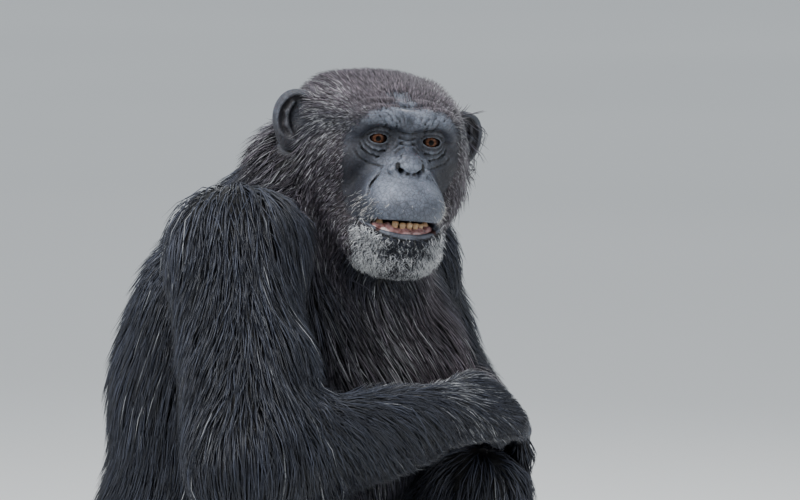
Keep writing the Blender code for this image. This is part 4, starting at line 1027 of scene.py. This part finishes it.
def hairColours(marks, roots):   # how white and how brown each tuft is
    h, head, jaw, cheek, throat = (marks[name] for name in ("h", "head", "jaw", "cheek", "throat"))
    x = np.abs(h[:, 0])
    draw = np.random.default_rng(tufts["colourSeed"]).random((3, len(roots)))
    sides = smooth(x, 0.014, 0.032)
    spots = np.floor(roots / np.float32(0.0034) + np.sin(roots[:, [2, 0, 1]] * 900)).astype(np.int64)
    patch = ((spots @ np.array([7919, 104729, 1299709])) % 977) / 977.0   # hairs of one curl share their colour
    low = smooth(-h[:, 2], 0.100, 0.118)
    beardWhite = jaw * np.clip(0.24 + 0.46 * sides + 0.22 * low, 0, 0.85)
    temple = smooth(x, 0.036, 0.056) * smooth(h[:, 2], -0.050, -0.010) * head * (1 - jaw)
    cheekGrey = cheek * (1 - jaw) * 0.10 + temple * 0.20
    share = beardWhite + cheekGrey + 0.014 * (1 - head) + 0.50 * marks["streak"] + 0.06 * throat * (1 - head)
    bearded = jaw > 0.4
    white = np.where(bearded, 0.75 * patch + 0.25 * draw[0], draw[0]) < np.clip(share, 0, 1)
    most = np.where(bearded, 0.62 + 0.38 * draw[1], 0.16 + 0.38 * draw[1])
    warm = 0.05 + 0.75 * marks["crown"] * (0.4 + 0.6 * draw[2]) + 0.90 * throat * (0.4 + 0.6 * draw[2]) * (1 - head)
    warm += 0.60 * cheek * (0.3 + 0.7 * draw[2]) * (1 - jaw)
    brownLimbs = [boneNames.index(name) for name in ("foreL", "shankL", "shankR")]
    warm += 0.50 * draw[2] * marks["shares"][:, brownLimbs].sum(axis=1)
    return np.where(white, most, 0.0), np.clip(warm, 0, 1)


# Materials. Colours are sRGB hex values.
def linear(code):
    values = [int(code[i:i + 2], 16) / 255 for i in (0, 2, 4)]
    return tuple(v / 12.92 if v <= 0.04045 else ((v + 0.055) / 1.055) ** 2.4 for v in values) + (1.0,)


def addNode(tree, kind, settings=None, **links):   # an input's name is written with underscores, or as i and its number
    node = tree.nodes.new(kind)
    for name, value in (settings or {}).items():
        if hasattr(node, name) and name not in node.inputs:
            setattr(node, name, value)
        else:
            node.inputs[name].default_value = value
    for name, source in links.items():
        byNumber = name[0] == "i" and name[1:].isdigit()
        tree.links.new(source, node.inputs[int(name[1:]) if byNumber else name.replace("_", " ")])
    return node


def ramp(tree, source, stops):
    node = addNode(tree, "ShaderNodeValToRGB", Fac=source)
    band = node.color_ramp
    while len(band.elements) < len(stops):
        band.elements.new(0.5)
    for element, (place, colour) in zip(band.elements, stops):
        element.position = place
        element.color = linear(colour) if isinstance(colour, str) else (colour, colour, colour, 1.0)
    return node.outputs["Color"]


def startMaterial(name, **values):   # a material with these values on its shader, and its nodes
    material = bpy.data.materials.new(name)
    material.use_nodes = True
    tree = material.node_tree
    for label, value in values.items():
        tree.nodes["Principled BSDF"].inputs[label.replace("_", " ")].default_value = value
    return material, tree


def ended(material, **sources):   # the material with these sources linked to its shader
    tree = material.node_tree
    for label, source in sources.items():
        tree.links.new(source, tree.nodes["Principled BSDF"].inputs[label.replace("_", " ")])
    return material


def texturePlace(tree):   # each point's place, from one node that all of a material's textures share
    return (tree.nodes.get("Texture Coordinate") or addNode(tree, "ShaderNodeTexCoord")).outputs["Object"]


def noise(tree, scale, detail, roughness=0.5):
    settings = dict(Scale=scale, Detail=detail, Roughness=roughness)
    return addNode(tree, "ShaderNodeTexNoise", settings, Vector=texturePlace(tree)).outputs["Fac"]


def cracks(tree, scale):   # the distance to the nearest crack between cells
    settings = dict(feature="DISTANCE_TO_EDGE", Scale=scale)
    return addNode(tree, "ShaderNodeTexVoronoi", settings, Vector=texturePlace(tree)).outputs["Distance"]


def bump(tree, strength, distance, height, **normal):
    node = addNode(tree, "ShaderNodeBump", dict(Strength=strength, Distance=distance), Height=height, **normal)
    return node.outputs["Normal"]


def attribute(tree, name):
    return addNode(tree, "ShaderNodeAttribute", dict(attribute_name=name)).outputs["Fac"]


def mixColours(tree, share, a, b, mode="MIX"):
    node = addNode(tree, "ShaderNodeMix", dict(data_type="RGBA", blend_type=mode))
    colours = [item for item in node.inputs if item.type == "RGBA"]
    for slot, value in zip([node.inputs["Factor"]] + colours, (share, a, b)):
        if isinstance(value, bpy.types.NodeSocket):
            tree.links.new(value, slot)
        else:
            slot.default_value = linear(value) if isinstance(value, str) else value
    return [item for item in node.outputs if item.type == "RGBA"][0]


def hairMaterial():
    # Coarse black guard hair. Its cuticle is smooth, so each hair carries a long cool glint, and old ones turn white.
    material, tree = startMaterial("BlackGuardHair", Roughness=0.46, IOR=1.55, Specular_IOR_Level=0.45)
    tone = attribute(tree, "tone")
    dark = ramp(tree, tone, [(0.0, "12161F"), (0.55, "1C222E"), (1.0, "2D3646")])
    brown = ramp(tree, tone, [(0.0, "2C2528"), (0.5, "5B5056"), (1.0, "948790")])
    white = ramp(tree, tone, [(0.0, "ACAFB4"), (1.0, "EDEFF0")])
    colour = mixColours(tree, attribute(tree, "warm"), dark, brown)
    colour = mixColours(tree, attribute(tree, "frost"), colour, white)
    shade = ramp(tree, attribute(tree, "along"), [(0.0, 0.45), (0.45, 0.0), (1.0, 0.0)])   # roots sit in shade
    return ended(material, Base_Color=mixColours(tree, shade, colour, "050506"))


def skinMaterial():
    # Bare ape skin: slate grey with a blue cast, darker cheeks, a paler muzzle that is partly painted light, a painted
    # highlight on the brow and the ridges, and painted shade in creases, nostrils, ears, eye sockets, mouth and under
    # the coat. Fine creases cross every 1 to 2 mm.
    material, tree = startMaterial("CreasedSlateSkin", IOR=1.42, Specular_IOR_Level=0.42,
                                   Subsurface_Weight=0.04, Subsurface_Scale=0.004)
    cloud, mottle = noise(tree, 38.0, 5.0, 0.62), noise(tree, 220.0, 4.0, 0.6)
    cells, folds = cracks(tree, 620.0), cracks(tree, 240.0)
    base = ramp(tree, cloud, [(0.30, "272A31"), (0.52, "363943"), (0.72, "494E59")])
    light = ramp(tree, cloud, [(0.30, "5A606C"), (0.55, "747B89"), (0.75, "9098A8")])
    deep = ramp(tree, cloud, [(0.30, "19171B"), (0.55, "242227"), (0.75, "312F35")])
    # pale: a paler muzzle, forehead and ear rim, and a painted highlight on the brow
    colour = mixColours(tree, attribute(tree, "pale"), base, light)
    # painted shade: the skin under the coat is near black, lighter and browner under the thin hair of the crown and
    # cheeks
    coatShadeColour = mixColours(tree, attribute(tree, "scalp"), "08080A", "2A2428")
    for share, over in (
            # darker cheeks, and painted shade over the ears, in the eye sockets and in the mouth
            (attribute(tree, "dark"), deep),
            (ramp(tree, mottle, [(0.35, 0.35), (0.60, 0.0)]), "24252A"),
            # painted shade along the fine creases
            (ramp(tree, folds, [(0.0, 0.55), (0.10, 0.0)]), "1B1B1E"),
            # painted highlight on the ridges of the bare face
            (ramp(tree, attribute(tree, "ridgeHighlight"), [(0.10, 0.0), (0.80, 0.26)]), "8C929C"),
            # painted shade in the creases of the face and in the nostrils
            (ramp(tree, attribute(tree, "hollow"), [(0.10, 0.0), (0.60, 0.94)]), "08080A"),
            # painted shade inside the mouth
            (attribute(tree, "inside"), "30110E"),
            (attribute(tree, "shadedByCoat"), coatShadeColour)):
        colour = mixColours(tree, share, colour, over)
    fine = bump(tree, 0.35, 0.0003, ramp(tree, cells, [(0.0, 0.0), (0.18, 1.0)]))
    coarse = bump(tree, 0.45, 0.0005, ramp(tree, folds, [(0.0, 0.0), (0.16, 1.0)]), Normal=fine)
    return ended(material, Base_Color=colour, Roughness=ramp(tree, mottle, [(0.3, 0.40), (0.7, 0.58)]),
                 Normal=bump(tree, 0.35, 0.0006, mottle, Normal=coarse))


def eyeMaterial():
    # A wet eye: brown-black white of the eye, amber iris with a dark rim, black pupil, under a clear cornea.
    material, tree = startMaterial("WetEye", Roughness=0.30, IOR=1.376, Specular_IOR_Level=0.06,
                                   Coat_Weight=0.25, Coat_Roughness=0.02, Coat_IOR=1.376)
    out = attribute(tree, "fromGaze")
    pupil, iris = (eyeSettings[name] / eyeSettings["radius"] for name in ("pupil", "iris"))
    amber = ramp(tree, noise(tree, 900.0, 4.0), [(0.30, "28180F"), (0.55, "573726"), (0.75, "7D563F")])
    zones = ramp(tree, out, [(0.0, "010101"), (pupil, "010101"), (pupil * 1.25, "FFFFFF"),
                             (iris * 0.86, "E0E0E0"), (iris, "2A1A12"), (iris * 1.2, "3A2A24")])
    inIris = ramp(tree, out, [(0.0, 1.0), (iris, 1.0), (iris * 1.08, 0.0)])
    ball = mixColours(tree, inIris, "170F0D", amber)
    return ended(material, Base_Color=mixColours(tree, inIris, ball, mixColours(tree, 1.0, ball, zones, "MULTIPLY")))


def toothMaterial():
    # Worn enamel stained by fruit and bark: yellow ivory at the edge, brown at the gum.
    material, tree = startMaterial("StainedEnamel", IOR=1.62, Roughness=0.28,
                                   Subsurface_Weight=0.10, Subsurface_Scale=0.002)
    stain = noise(tree, 260.0, 5.0)
    clean = ramp(tree, attribute(tree, "crown"), [(0.0, "8A5A38"), (0.30, "C08A5A"), (0.75, "E0BC8C"), (1.0, "CCA478")])
    colour = mixColours(tree, ramp(tree, stain, [(0.40, 0.0), (0.68, 0.65)]), clean, "70401F")
    return ended(material, Base_Color=colour, Normal=bump(tree, 0.25, 0.0003, stain))


def gumMaterial():
    # Wet gum: pink with darker freckles.
    material, tree = startMaterial("WetGum", IOR=1.40, Roughness=0.24, Subsurface_Weight=0.12,
                                   Subsurface_Scale=0.003, Coat_Weight=0.4, Coat_Roughness=0.12)
    freckle = noise(tree, 180.0, 4.0)
    colour = ramp(tree, freckle, [(0.34, "6E4846"), (0.50, "A27876"), (0.66, "C09A98")])
    return ended(material, Base_Color=colour, Normal=bump(tree, 0.3, 0.0004, freckle))


def nailMaterial():
    # Horn: brown-black keratin with long ridges from root to tip, scuffed paler at the edge.
    material, tree = startMaterial("DarkHorn", IOR=1.54, Roughness=0.34)
    ridges = noise(tree, 700.0, 3.0)
    colour = mixColours(tree, attribute(tree, "edge"), ramp(tree, ridges, [(0.3, "120F0D"), (0.7, "29231E")]), "5A5046")
    return ended(material, Base_Color=colour, Normal=bump(tree, 0.3, 0.0002, ridges))


def bristleMaterial():
    # Old bristles without pigment: grey-white and faintly glossy.
    material, tree = startMaterial("WhiteBristle", Roughness=0.45, IOR=1.55)
    return ended(material, Base_Color=ramp(tree, noise(tree, 400.0, 2.0), [(0.35, "8A8988"), (0.65, "D9D8D4")]))


def floorMaterial():
    # Painted studio floor: matt, pale and a little uneven.
    material, tree = startMaterial("PaleStudioPaint", Roughness=0.75)
    return ended(material, Base_Color=ramp(tree, noise(tree, 0.4, 1.0), [(0.3, "E4E5E3"), (0.7, "E8E9E7")]))


def hollows(mesh, points):   # how deep in a crease each vertex lies: above 0 in a hollow, below 0 on a ridge
    a, b = readAll(mesh.edges, "vertices", 2, np.int32).T
    normals = readAll(mesh.vertices, "normal", 3)
    size = len(points)

    def summed(atA, atB):   # at each vertex, the sum of what its edges bring
        return np.bincount(a, atB, size) + np.bincount(b, atA, size)

    count = np.bincount(a, minlength=size) + np.bincount(b, minlength=size) + 1e-6
    lengths = np.linalg.norm(points[a] - points[b], axis=1)
    middle = np.stack([summed(points[a, i], points[b, i]) for i in range(3)], axis=1)
    apart = summed(lengths, lengths) / count
    bend = np.sum((middle / count[:, None] - points) * normals, axis=1) / (apart**2 + 1e-9)
    for _ in range(2):
        bend = 0.5 * bend + 0.5 * (summed(bend[a], bend[b]) / count)
    return np.clip(bend * 0.0042, -1, 1)


# the nostril slits are painted dark as shade
def nostrilPaint(h):   # 1 along the slit of each nostril, from points in the head's frame
    spots = np.stack([np.abs(h[:, 0]), h[:, 1], h[:, 2]], axis=1)
    gap = np.full(len(h), 1.0)
    for a, b in zip(noseForms["slit"][:-1], noseForms["slit"][1:]):
        a, along = floats(a), floats(b) - floats(a)
        share = np.clip((spots - a) @ along / (along @ along), 0, 1)
        gap = np.minimum(gap, np.linalg.norm(spots - a - share[:, None] * along, axis=1))
    return 1 - smooth(gap, 0.0020, 0.0034)


def paintSkin(skin):   # the markings of the skin, and its unwrap
    mesh = skin.data
    points = readAll(mesh.vertices, "co", 3)
    marks = markings(points)
    h, head = marks["h"], marks["head"]
    x, y, z = np.abs(h[:, 0]), h[:, 1], h[:, 2]
    # the muzzle is paler, partly its own tone and partly painted light
    muzzle = smooth(-y, 0.080, 0.100) * smooth(-z, 0.008, 0.026) * (1 - smooth(x, 0.028, 0.044))
    muzzle = muzzle * (1 - 0.7 * smooth(-z, 0.076, 0.084))
    # painted highlight along the top-lit brow ridge
    brow = smooth(z, 0.010, 0.020) * (1 - smooth(x, 0.040, 0.056)) * smooth(-y, 0.05, 0.07)
    brow = brow * (1 - smooth(z, 0.028, 0.036))
    forehead = smooth(z, 0.028, 0.034) * (1 - smooth(x, 0.016, 0.030)) * smooth(-y, 0.03, 0.05)
    lip = np.exp(-((z + 0.062) / 0.011) ** 2) * (1 - smooth(x, 0.016, 0.032))   # the lip's middle is darker
    pale = head * np.clip((0.68 - 0.30 * lip) * muzzle + 0.50 * brow + 0.50 * forehead, 0, 1)
    ear, cup = bareEar(h) * head, earCup(h) * head
    # dark: the cheeks' own darker skin, and painted shade over the ears and deeper in their hollows
    cheek = 0.55 * smooth(x, 0.036, 0.050) * (1 - smooth(z, -0.012, 0.010))
    dark = head * np.clip(cheek + 0.35 * ear + cup, 0, 1)
    # painted shade in the eye sockets
    socket = np.exp(-((x - 0.0272) / 0.013) ** 2 - ((z - 0.001) / 0.010) ** 2) * head * smooth(-y, 0.04, 0.06)
    # inside the mouth the skin is painted dark red and deep as shade
    inMouth = (np.abs(z + 0.082) < 0.012) & (x < 0.031) & (y > -0.119) & (y < -0.050)
    hollow = hollows(mesh, points) * smooth(marks["bare"], 0.3, 0.7)
    for name, values in dict(
            # painted shade: the creases of the bare face and the nostril slits are darkened
            hollow=np.clip(np.maximum(hollow, nostrilPaint(h) * head), 0, 1),
            # painted highlight: the ridges of the bare face are lightened where the surface bends outwards
            ridgeHighlight=np.clip(-hollow, 0, 1),
            inside=inMouth,
            pale=np.clip(pale + 0.12 * ear * (1 - cup), 0, 1),
            # painted shade fills the mouth, the ears and the eye sockets; the cheeks keep their own darker tone
            dark=np.where(inMouth, 1.0, np.clip(dark + 0.62 * socket, 0, 1)),
            # painted shade on the skin that the coat covers
            shadedByCoat=1 - smooth(marks["bare"], 0.0, 0.5),
            scalp=np.clip(marks["crown"] + marks["cheek"], 0, 1) * head).items():
        floatAttribute(mesh, name, values)
    corners = readAll(mesh.loops, "vertex_index", kind=np.int32)
    totals = readAll(mesh.polygons, "loop_total", kind=np.int32)
    centres = readAll(mesh.polygons, "center", 3)
    faceGroup = np.argmax(markings(centres)["shares"], axis=1)
    group = np.repeat(faceGroup, totals)
    spots = unwrapped(points[corners], group)
    wide = np.array([atlas[name][2] for name in boneNames])[group] * 0.94
    away = spots[:, 0] - np.repeat(unwrapped(centres, faceGroup)[:, 0], totals)
    spots[:, 0] -= np.round(away / wide) * wide   # a face on the seam stays on one side of it
    setUnwrap(mesh, spots)


def eyeMesh(side):
    x, y, z = eyeSettings["spot"]
    radius, angles = eyeSettings["radius"], []
    work = bmesh.new()
    bmesh.ops.create_uvsphere(work, u_segments=48, v_segments=36, radius=radius)
    for vert in work.verts:   # the cornea bulges a little
        angle = math.acos(max(-1.0, min(1.0, vert.co.z / radius)))
        vert.co *= 1 + eyeSettings["bulge"] * math.exp(-(angle / eyeSettings["bulgeWidth"]) ** 4)
        angles.append(math.atan2(math.hypot(vert.co.x, vert.co.y), vert.co.z))
    mesh = closed(work, "eye")
    mesh.transform(turned(90, "X"))
    floatAttribute(mesh, "fromGaze", angles)
    gaze = turned(eyeSettings["turn"], "Z") @ turned(eyeSettings["lift"], "X")
    mesh.transform(headPlace @ Matrix.Translation((side * x, y, z)) @ gaze)
    mesh.shade_smooth()
    return mesh


def buildTeeth(material):
    work = bmesh.new()
    for tooth in teeth["row"]:
        addTooth(work, *tooth)
    bmesh.ops.recalc_face_normals(work, faces=work.faces[:])
    mesh = closed(work, "teeth")
    mesh.transform(headPlace)
    obj = addObject("teeth", mesh, material)
    rounder = obj.modifiers.new("Round", "SUBSURF")
    rounder.levels = rounder.render_levels = 1
    applied(obj)
    obj.data.shade_smooth()
    height = inHead(readAll(obj.data.vertices, "co", 3))[:, 2]
    floatAttribute(obj.data, "crown", np.clip((height - teeth["foot"]) / 0.009, 0, 1))
    return obj


nails = dict(length=0.0105, forRadius=0.0085, arc=1.05, rows=6, columns=8, lifts=(0.0009, -0.0010), beyond=0.0052)


def buildNails(material):   # thin curved plates on the back of each last joint
    work = bmesh.new()
    edges, rows, columns = [], nails["rows"], nails["columns"]
    for start, tip, radius, back in nailSpots:
        start, tip, back = Vector(start), Vector(tip), Vector(back)
        along = (tip - start).normalized()
        back = (back - along * back.dot(along)).normalized()
        side = along.cross(back)
        length = nails["length"] * radius / nails["forRadius"]
        top, under = {}, {}
        for grid, lift in zip((top, under), nails["lifts"]):
            for i, j in np.ndindex(rows + 1, columns + 1):
                share = i / rows
                angle = (j / columns - 0.5) * 2 * nails["arc"] * (1 - 0.25 * abs(share - 0.45) ** 2 * 4)
                rim = radius * (0.94 - 0.10 * share) + lift
                droop = 0.0022 * max(share - 0.55, 0) ** 2 * 4
                spot = tip - along * (nails["beyond"] - length * (share - 0.18))
                spot = spot + back * (math.cos(angle) * rim - droop) + side * math.sin(angle) * rim
                grid[i, j] = work.verts.new(spot)
                edges.append(smooth(share, 0.75, 1.0))
        for i, j in np.ndindex(rows, columns):
            work.faces.new((top[i, j], top[i, j + 1], top[i + 1, j + 1], top[i + 1, j]))
            work.faces.new((under[i, j], under[i + 1, j], under[i + 1, j + 1], under[i, j + 1]))
        rim = [(0, j) for j in range(columns)] + [(i, columns) for i in range(rows)]
        rim += [(rows, j) for j in range(columns, 0, -1)] + [(i, 0) for i in range(rows, 0, -1)]
        for a, b in zip(rim, rim[1:] + rim[:1]):
            work.faces.new((top[a], under[a], under[b], top[b]))
    bmesh.ops.recalc_face_normals(work, faces=work.faces[:])
    mesh = closed(work, "nails")
    floatAttribute(mesh, "edge", edges)
    mesh.shade_smooth()
    return addObject("nails", mesh, material)


# Short stiff bristles on the lips, the chin and the cheeks, scattered by Geometry Nodes.
bristles = dict(perSquareMetre=90000.0, length=0.0062, thickness=0.00022, tip=0.00002, lean=0.75, seed=4,
                wobble=0.45, sizes=(0.45, 1.15))


def bristleTree(material):
    tree = bpy.data.node_groups.new("ScatterBristles", "GeometryNodeTree")

    def add(kind, settings=None, **links):
        return addNode(tree, kind, settings, **links)

    def named(name, kind):
        return add("GeometryNodeInputNamedAttribute", dict(data_type=kind, Name=name)).outputs["Attribute"]

    face = tree.interface
    face.new_socket("Geometry", in_out="INPUT", socket_type="NodeSocketGeometry")
    for name in ("perSquareMetre", "length", "thickness"):
        face.new_socket(name, in_out="INPUT", socket_type="NodeSocketFloat").default_value = bristles[name]
    face.new_socket("Geometry", in_out="OUTPUT", socket_type="NodeSocketGeometry")
    start, end = tree.nodes.new("NodeGroupInput").outputs, tree.nodes.new("NodeGroupOutput")
    amount = add("ShaderNodeMath", dict(operation="MULTIPLY"), i0=start["perSquareMetre"], i1=named("bristly", "FLOAT"))
    spread = add("GeometryNodeDistributePointsOnFaces", dict(distribute_method="RANDOM", Seed=bristles["seed"]),
                 Mesh=start["Geometry"], Density=amount.outputs[0])
    caught = add("GeometryNodeSampleNearestSurface", dict(data_type="FLOAT_VECTOR"),
                 Mesh=start["Geometry"], Value=named("lie", "FLOAT_VECTOR"))
    wobble = add("FunctionNodeRandomValue", dict(data_type="FLOAT_VECTOR", Min=(-bristles["wobble"],) * 3,
                                                 Max=(bristles["wobble"],) * 3))
    aim = add("ShaderNodeVectorMath", dict(operation="ADD"), i0=caught.outputs["Value"], i1=wobble.outputs["Value"])
    aligned = add("FunctionNodeAlignRotationToVector", dict(axis="Z"), Vector=aim.outputs["Vector"])
    hair = add("GeometryNodeMeshCone", {"Vertices": 3, "Radius Top": bristles["tip"]},
               Radius_Bottom=start["thickness"], Depth=start["length"])
    size = add("FunctionNodeRandomValue", dict(data_type="FLOAT"))
    low, high = [socket for socket in size.inputs if socket.type == "VALUE"][:2]
    low.default_value, high.default_value = bristles["sizes"]
    sizeOut = [socket for socket in size.outputs if socket.type == "VALUE"][0]
    placed = add("GeometryNodeInstanceOnPoints", Points=spread.outputs["Points"], Instance=hair.outputs["Mesh"],
                 Rotation=aligned.outputs["Rotation"], Scale=sizeOut)
    real = add("GeometryNodeRealizeInstances", Geometry=placed.outputs["Instances"])
    finish = add("GeometryNodeSetMaterial", dict(Material=material), Geometry=real.outputs["Geometry"])
    tree.links.new(finish.outputs["Geometry"], end.inputs["Geometry"])
    return tree


def buildBristles(skin, around, material):   # white bristles, thickest at the corners of the mouth
    mesh = skin.data.copy()
    points = readAll(mesh.vertices, "co", 3)
    marks = markings(points)
    h = marks["h"]
    x, y, z = np.abs(h[:, 0]), h[:, 1], h[:, 2]
    upperLip = smooth(-z, 0.046, 0.062) * (1 - smooth(-z, 0.0735, 0.0770)) * smooth(-y, 0.086, 0.102)
    upperLip = upperLip * (0.10 + 0.90 * smooth(x, 0.022, 0.036))
    lowerLip = smooth(-z, 0.0905, 0.0950) * smooth(-y, 0.070, 0.095)
    cheek = smooth(x, 0.030, 0.042) * smooth(-z, 0.046, 0.066) * smooth(-y, 0.050, 0.066)
    corner = smooth(x, 0.030, 0.038) * (1 - smooth(x, 0.044, 0.050)) * smooth(-z, 0.050, 0.062)
    corner = corner * smooth(-y, 0.070, 0.082)
    amount = marks["head"] * np.clip(0.35 * upperLip + 0.40 * lowerLip + 0.12 * cheek + corner, 0, 1)
    normals = around.outward(points)
    lie = unit(lieOfCoat(points, normals, marks) * bristles["lean"] + normals * 0.45)
    for name in ("pale", "dark", "shadedByCoat", "scalp", "hollow", "ridgeHighlight", "inside"):
        mesh.attributes.remove(mesh.attributes[name])
    floatAttribute(mesh, "bristly", amount)
    mesh.attributes.new("lie", "FLOAT_VECTOR", "POINT").data.foreach_set("vector", floats(lie).reshape(-1))
    obj = addObject("bristles", mesh)
    obj.modifiers.new("Scatter", "NODES").node_group = bristleTree(material)
    applied(obj)
    mesh = obj.data
    for layer in list(mesh.uv_layers):
        mesh.uv_layers.remove(layer)
    corners = readAll(mesh.loops, "vertex_index", kind=np.int32)
    setUnwrap(mesh, unwrapped(readAll(mesh.vertices, "co", 3)[corners], np.full(len(corners), boneNames.index("head"))))
    return obj


# Build everything in the script's own place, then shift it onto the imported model.
hairFinish, eyeFinish = hairMaterial(), eyeMaterial()
skin = buildSkin(skinMaterial())
around = Around(skin.data, detail["around"], detail["reach"])
report("distances round the skin")
paintSkin(skin)
coatPieces = []
trianglesEach = 6 * (tufts["spans"] - 1) + 4
for hairs in growCoat(around):
    order = np.argsort(hairs["roots"][:, 2])
    groups = int(math.ceil(len(order) * trianglesEach / tufts["most"]))
    for number, chosen in enumerate(np.array_split(order, groups)):
        name = "coat_%s_%d" % (hairs["kind"], number + 1)
        coatPieces.append(addObject(name, hairMesh(name, hairs, chosen), hairFinish))
report("coat, %d pieces" % len(coatPieces))
eyes = {name: addObject("eyeball_" + name, eyeMesh(sign), eyeFinish) for name, sign in (("right", -1.0), ("left", 1.0))}
gum = addObject("gum", gumClay(teeth["gumVoxel"]).mesh("gum"), gumMaterial())
gum.data.shade_smooth()
teethPiece = buildTeeth(toothMaterial())
nailPiece = buildNails(nailMaterial())
whiskers = buildBristles(skin, around, bristleMaterial())
report("eyes, teeth, nails and bristles")
pieces = [skin, gum, teethPiece, nailPiece, whiskers] + coatPieces + list(eyes.values())
for piece in pieces:
    piece.data.transform(Matrix.Translation(shift))
    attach(piece, "root")
flesh = [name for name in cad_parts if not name.startswith("eye_") and name != "lower_gum"]
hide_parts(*flesh)
for piece in coatPieces:
    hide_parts(*flesh)
for name, piece in eyes.items():
    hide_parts("eye_" + name)
for piece in (gum, teethPiece):
    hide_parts("lower_gum")


# Studio: a pale floor, a large soft light high on the left, a weak one on the right, one behind and one above.
view = dict(azimuth=-56.0, elevation=5.0, distance=7.0, frameWidth=0.8, origin=(0, 0, 0.76), right=0.1135, down=0.180)
studio = dict(
    floorSize=60.0, sky="DFE5EC", skyPower=0.84, aim=(0, -0.05, 0.42),
    #     name, turn from the camera, distance along the floor, height over the aim, power, size
    lights=[("key", -48, 2.3, 1.9, 92.0, 1.5), ("fill", 55, 2.3, 0.9, 15.0, 1.6), ("rim", 160, 2.3, 1.7, 26.0, 1.2),
            ("top", -10, 0.6, 2.6, 56.0, 1.4)],
)


def aimed(obj, spot, way):   # an object at a spot, looking along a way
    obj.location = spot
    obj.rotation_mode = "QUATERNION"
    obj.rotation_quaternion = way.to_track_quat("-Z", "Y")
    return obj


def buildStudio():
    work = bmesh.new()
    bmesh.ops.create_grid(work, x_segments=1, y_segments=1, size=studio["floorSize"])
    floor = addObject("studio_floor", closed(work, "floor"), floorMaterial())
    world = bpy.data.worlds.new("studio")
    bpy.context.scene.world = world
    world.use_nodes = True
    sky = world.node_tree.nodes["Background"].inputs
    sky["Color"].default_value, sky["Strength"].default_value = linear(studio["sky"]), studio["skyPower"]
    aim = Vector(studio["aim"]) + shift
    for name, turn, flat, height, power, size in studio["lights"]:
        light = bpy.data.lights.new(name, "AREA")
        light.energy, light.size = power, size
        bearing = math.radians(view["azimuth"]) + math.radians(turn)
        spot = aim + Vector((math.sin(bearing) * flat, -math.cos(bearing) * flat, height))
        aimed(addObject(name, light), spot, aim - spot)


def buildCamera():
    azimuth, elevation = math.radians(view["azimuth"]), math.radians(view["elevation"])
    flat = math.cos(elevation)
    back = Vector((math.sin(azimuth) * flat, -math.cos(azimuth) * flat, math.sin(elevation)))
    right = Vector((math.cos(azimuth), math.sin(azimuth), 0))
    lens = bpy.data.cameras.new("camera")
    lens.lens = lens.sensor_width * view["distance"] / view["frameWidth"]
    target = Vector(view["origin"]) + right * view["right"] - back.cross(right) * view["down"] + shift
    bpy.context.scene.camera = aimed(addObject("camera", lens), target + back * view["distance"], -back)


buildStudio()
buildCamera()
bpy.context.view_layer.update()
report("%d pieces, %d triangles" % (len(pieces), sum(triangleCount(piece) for piece in pieces)))
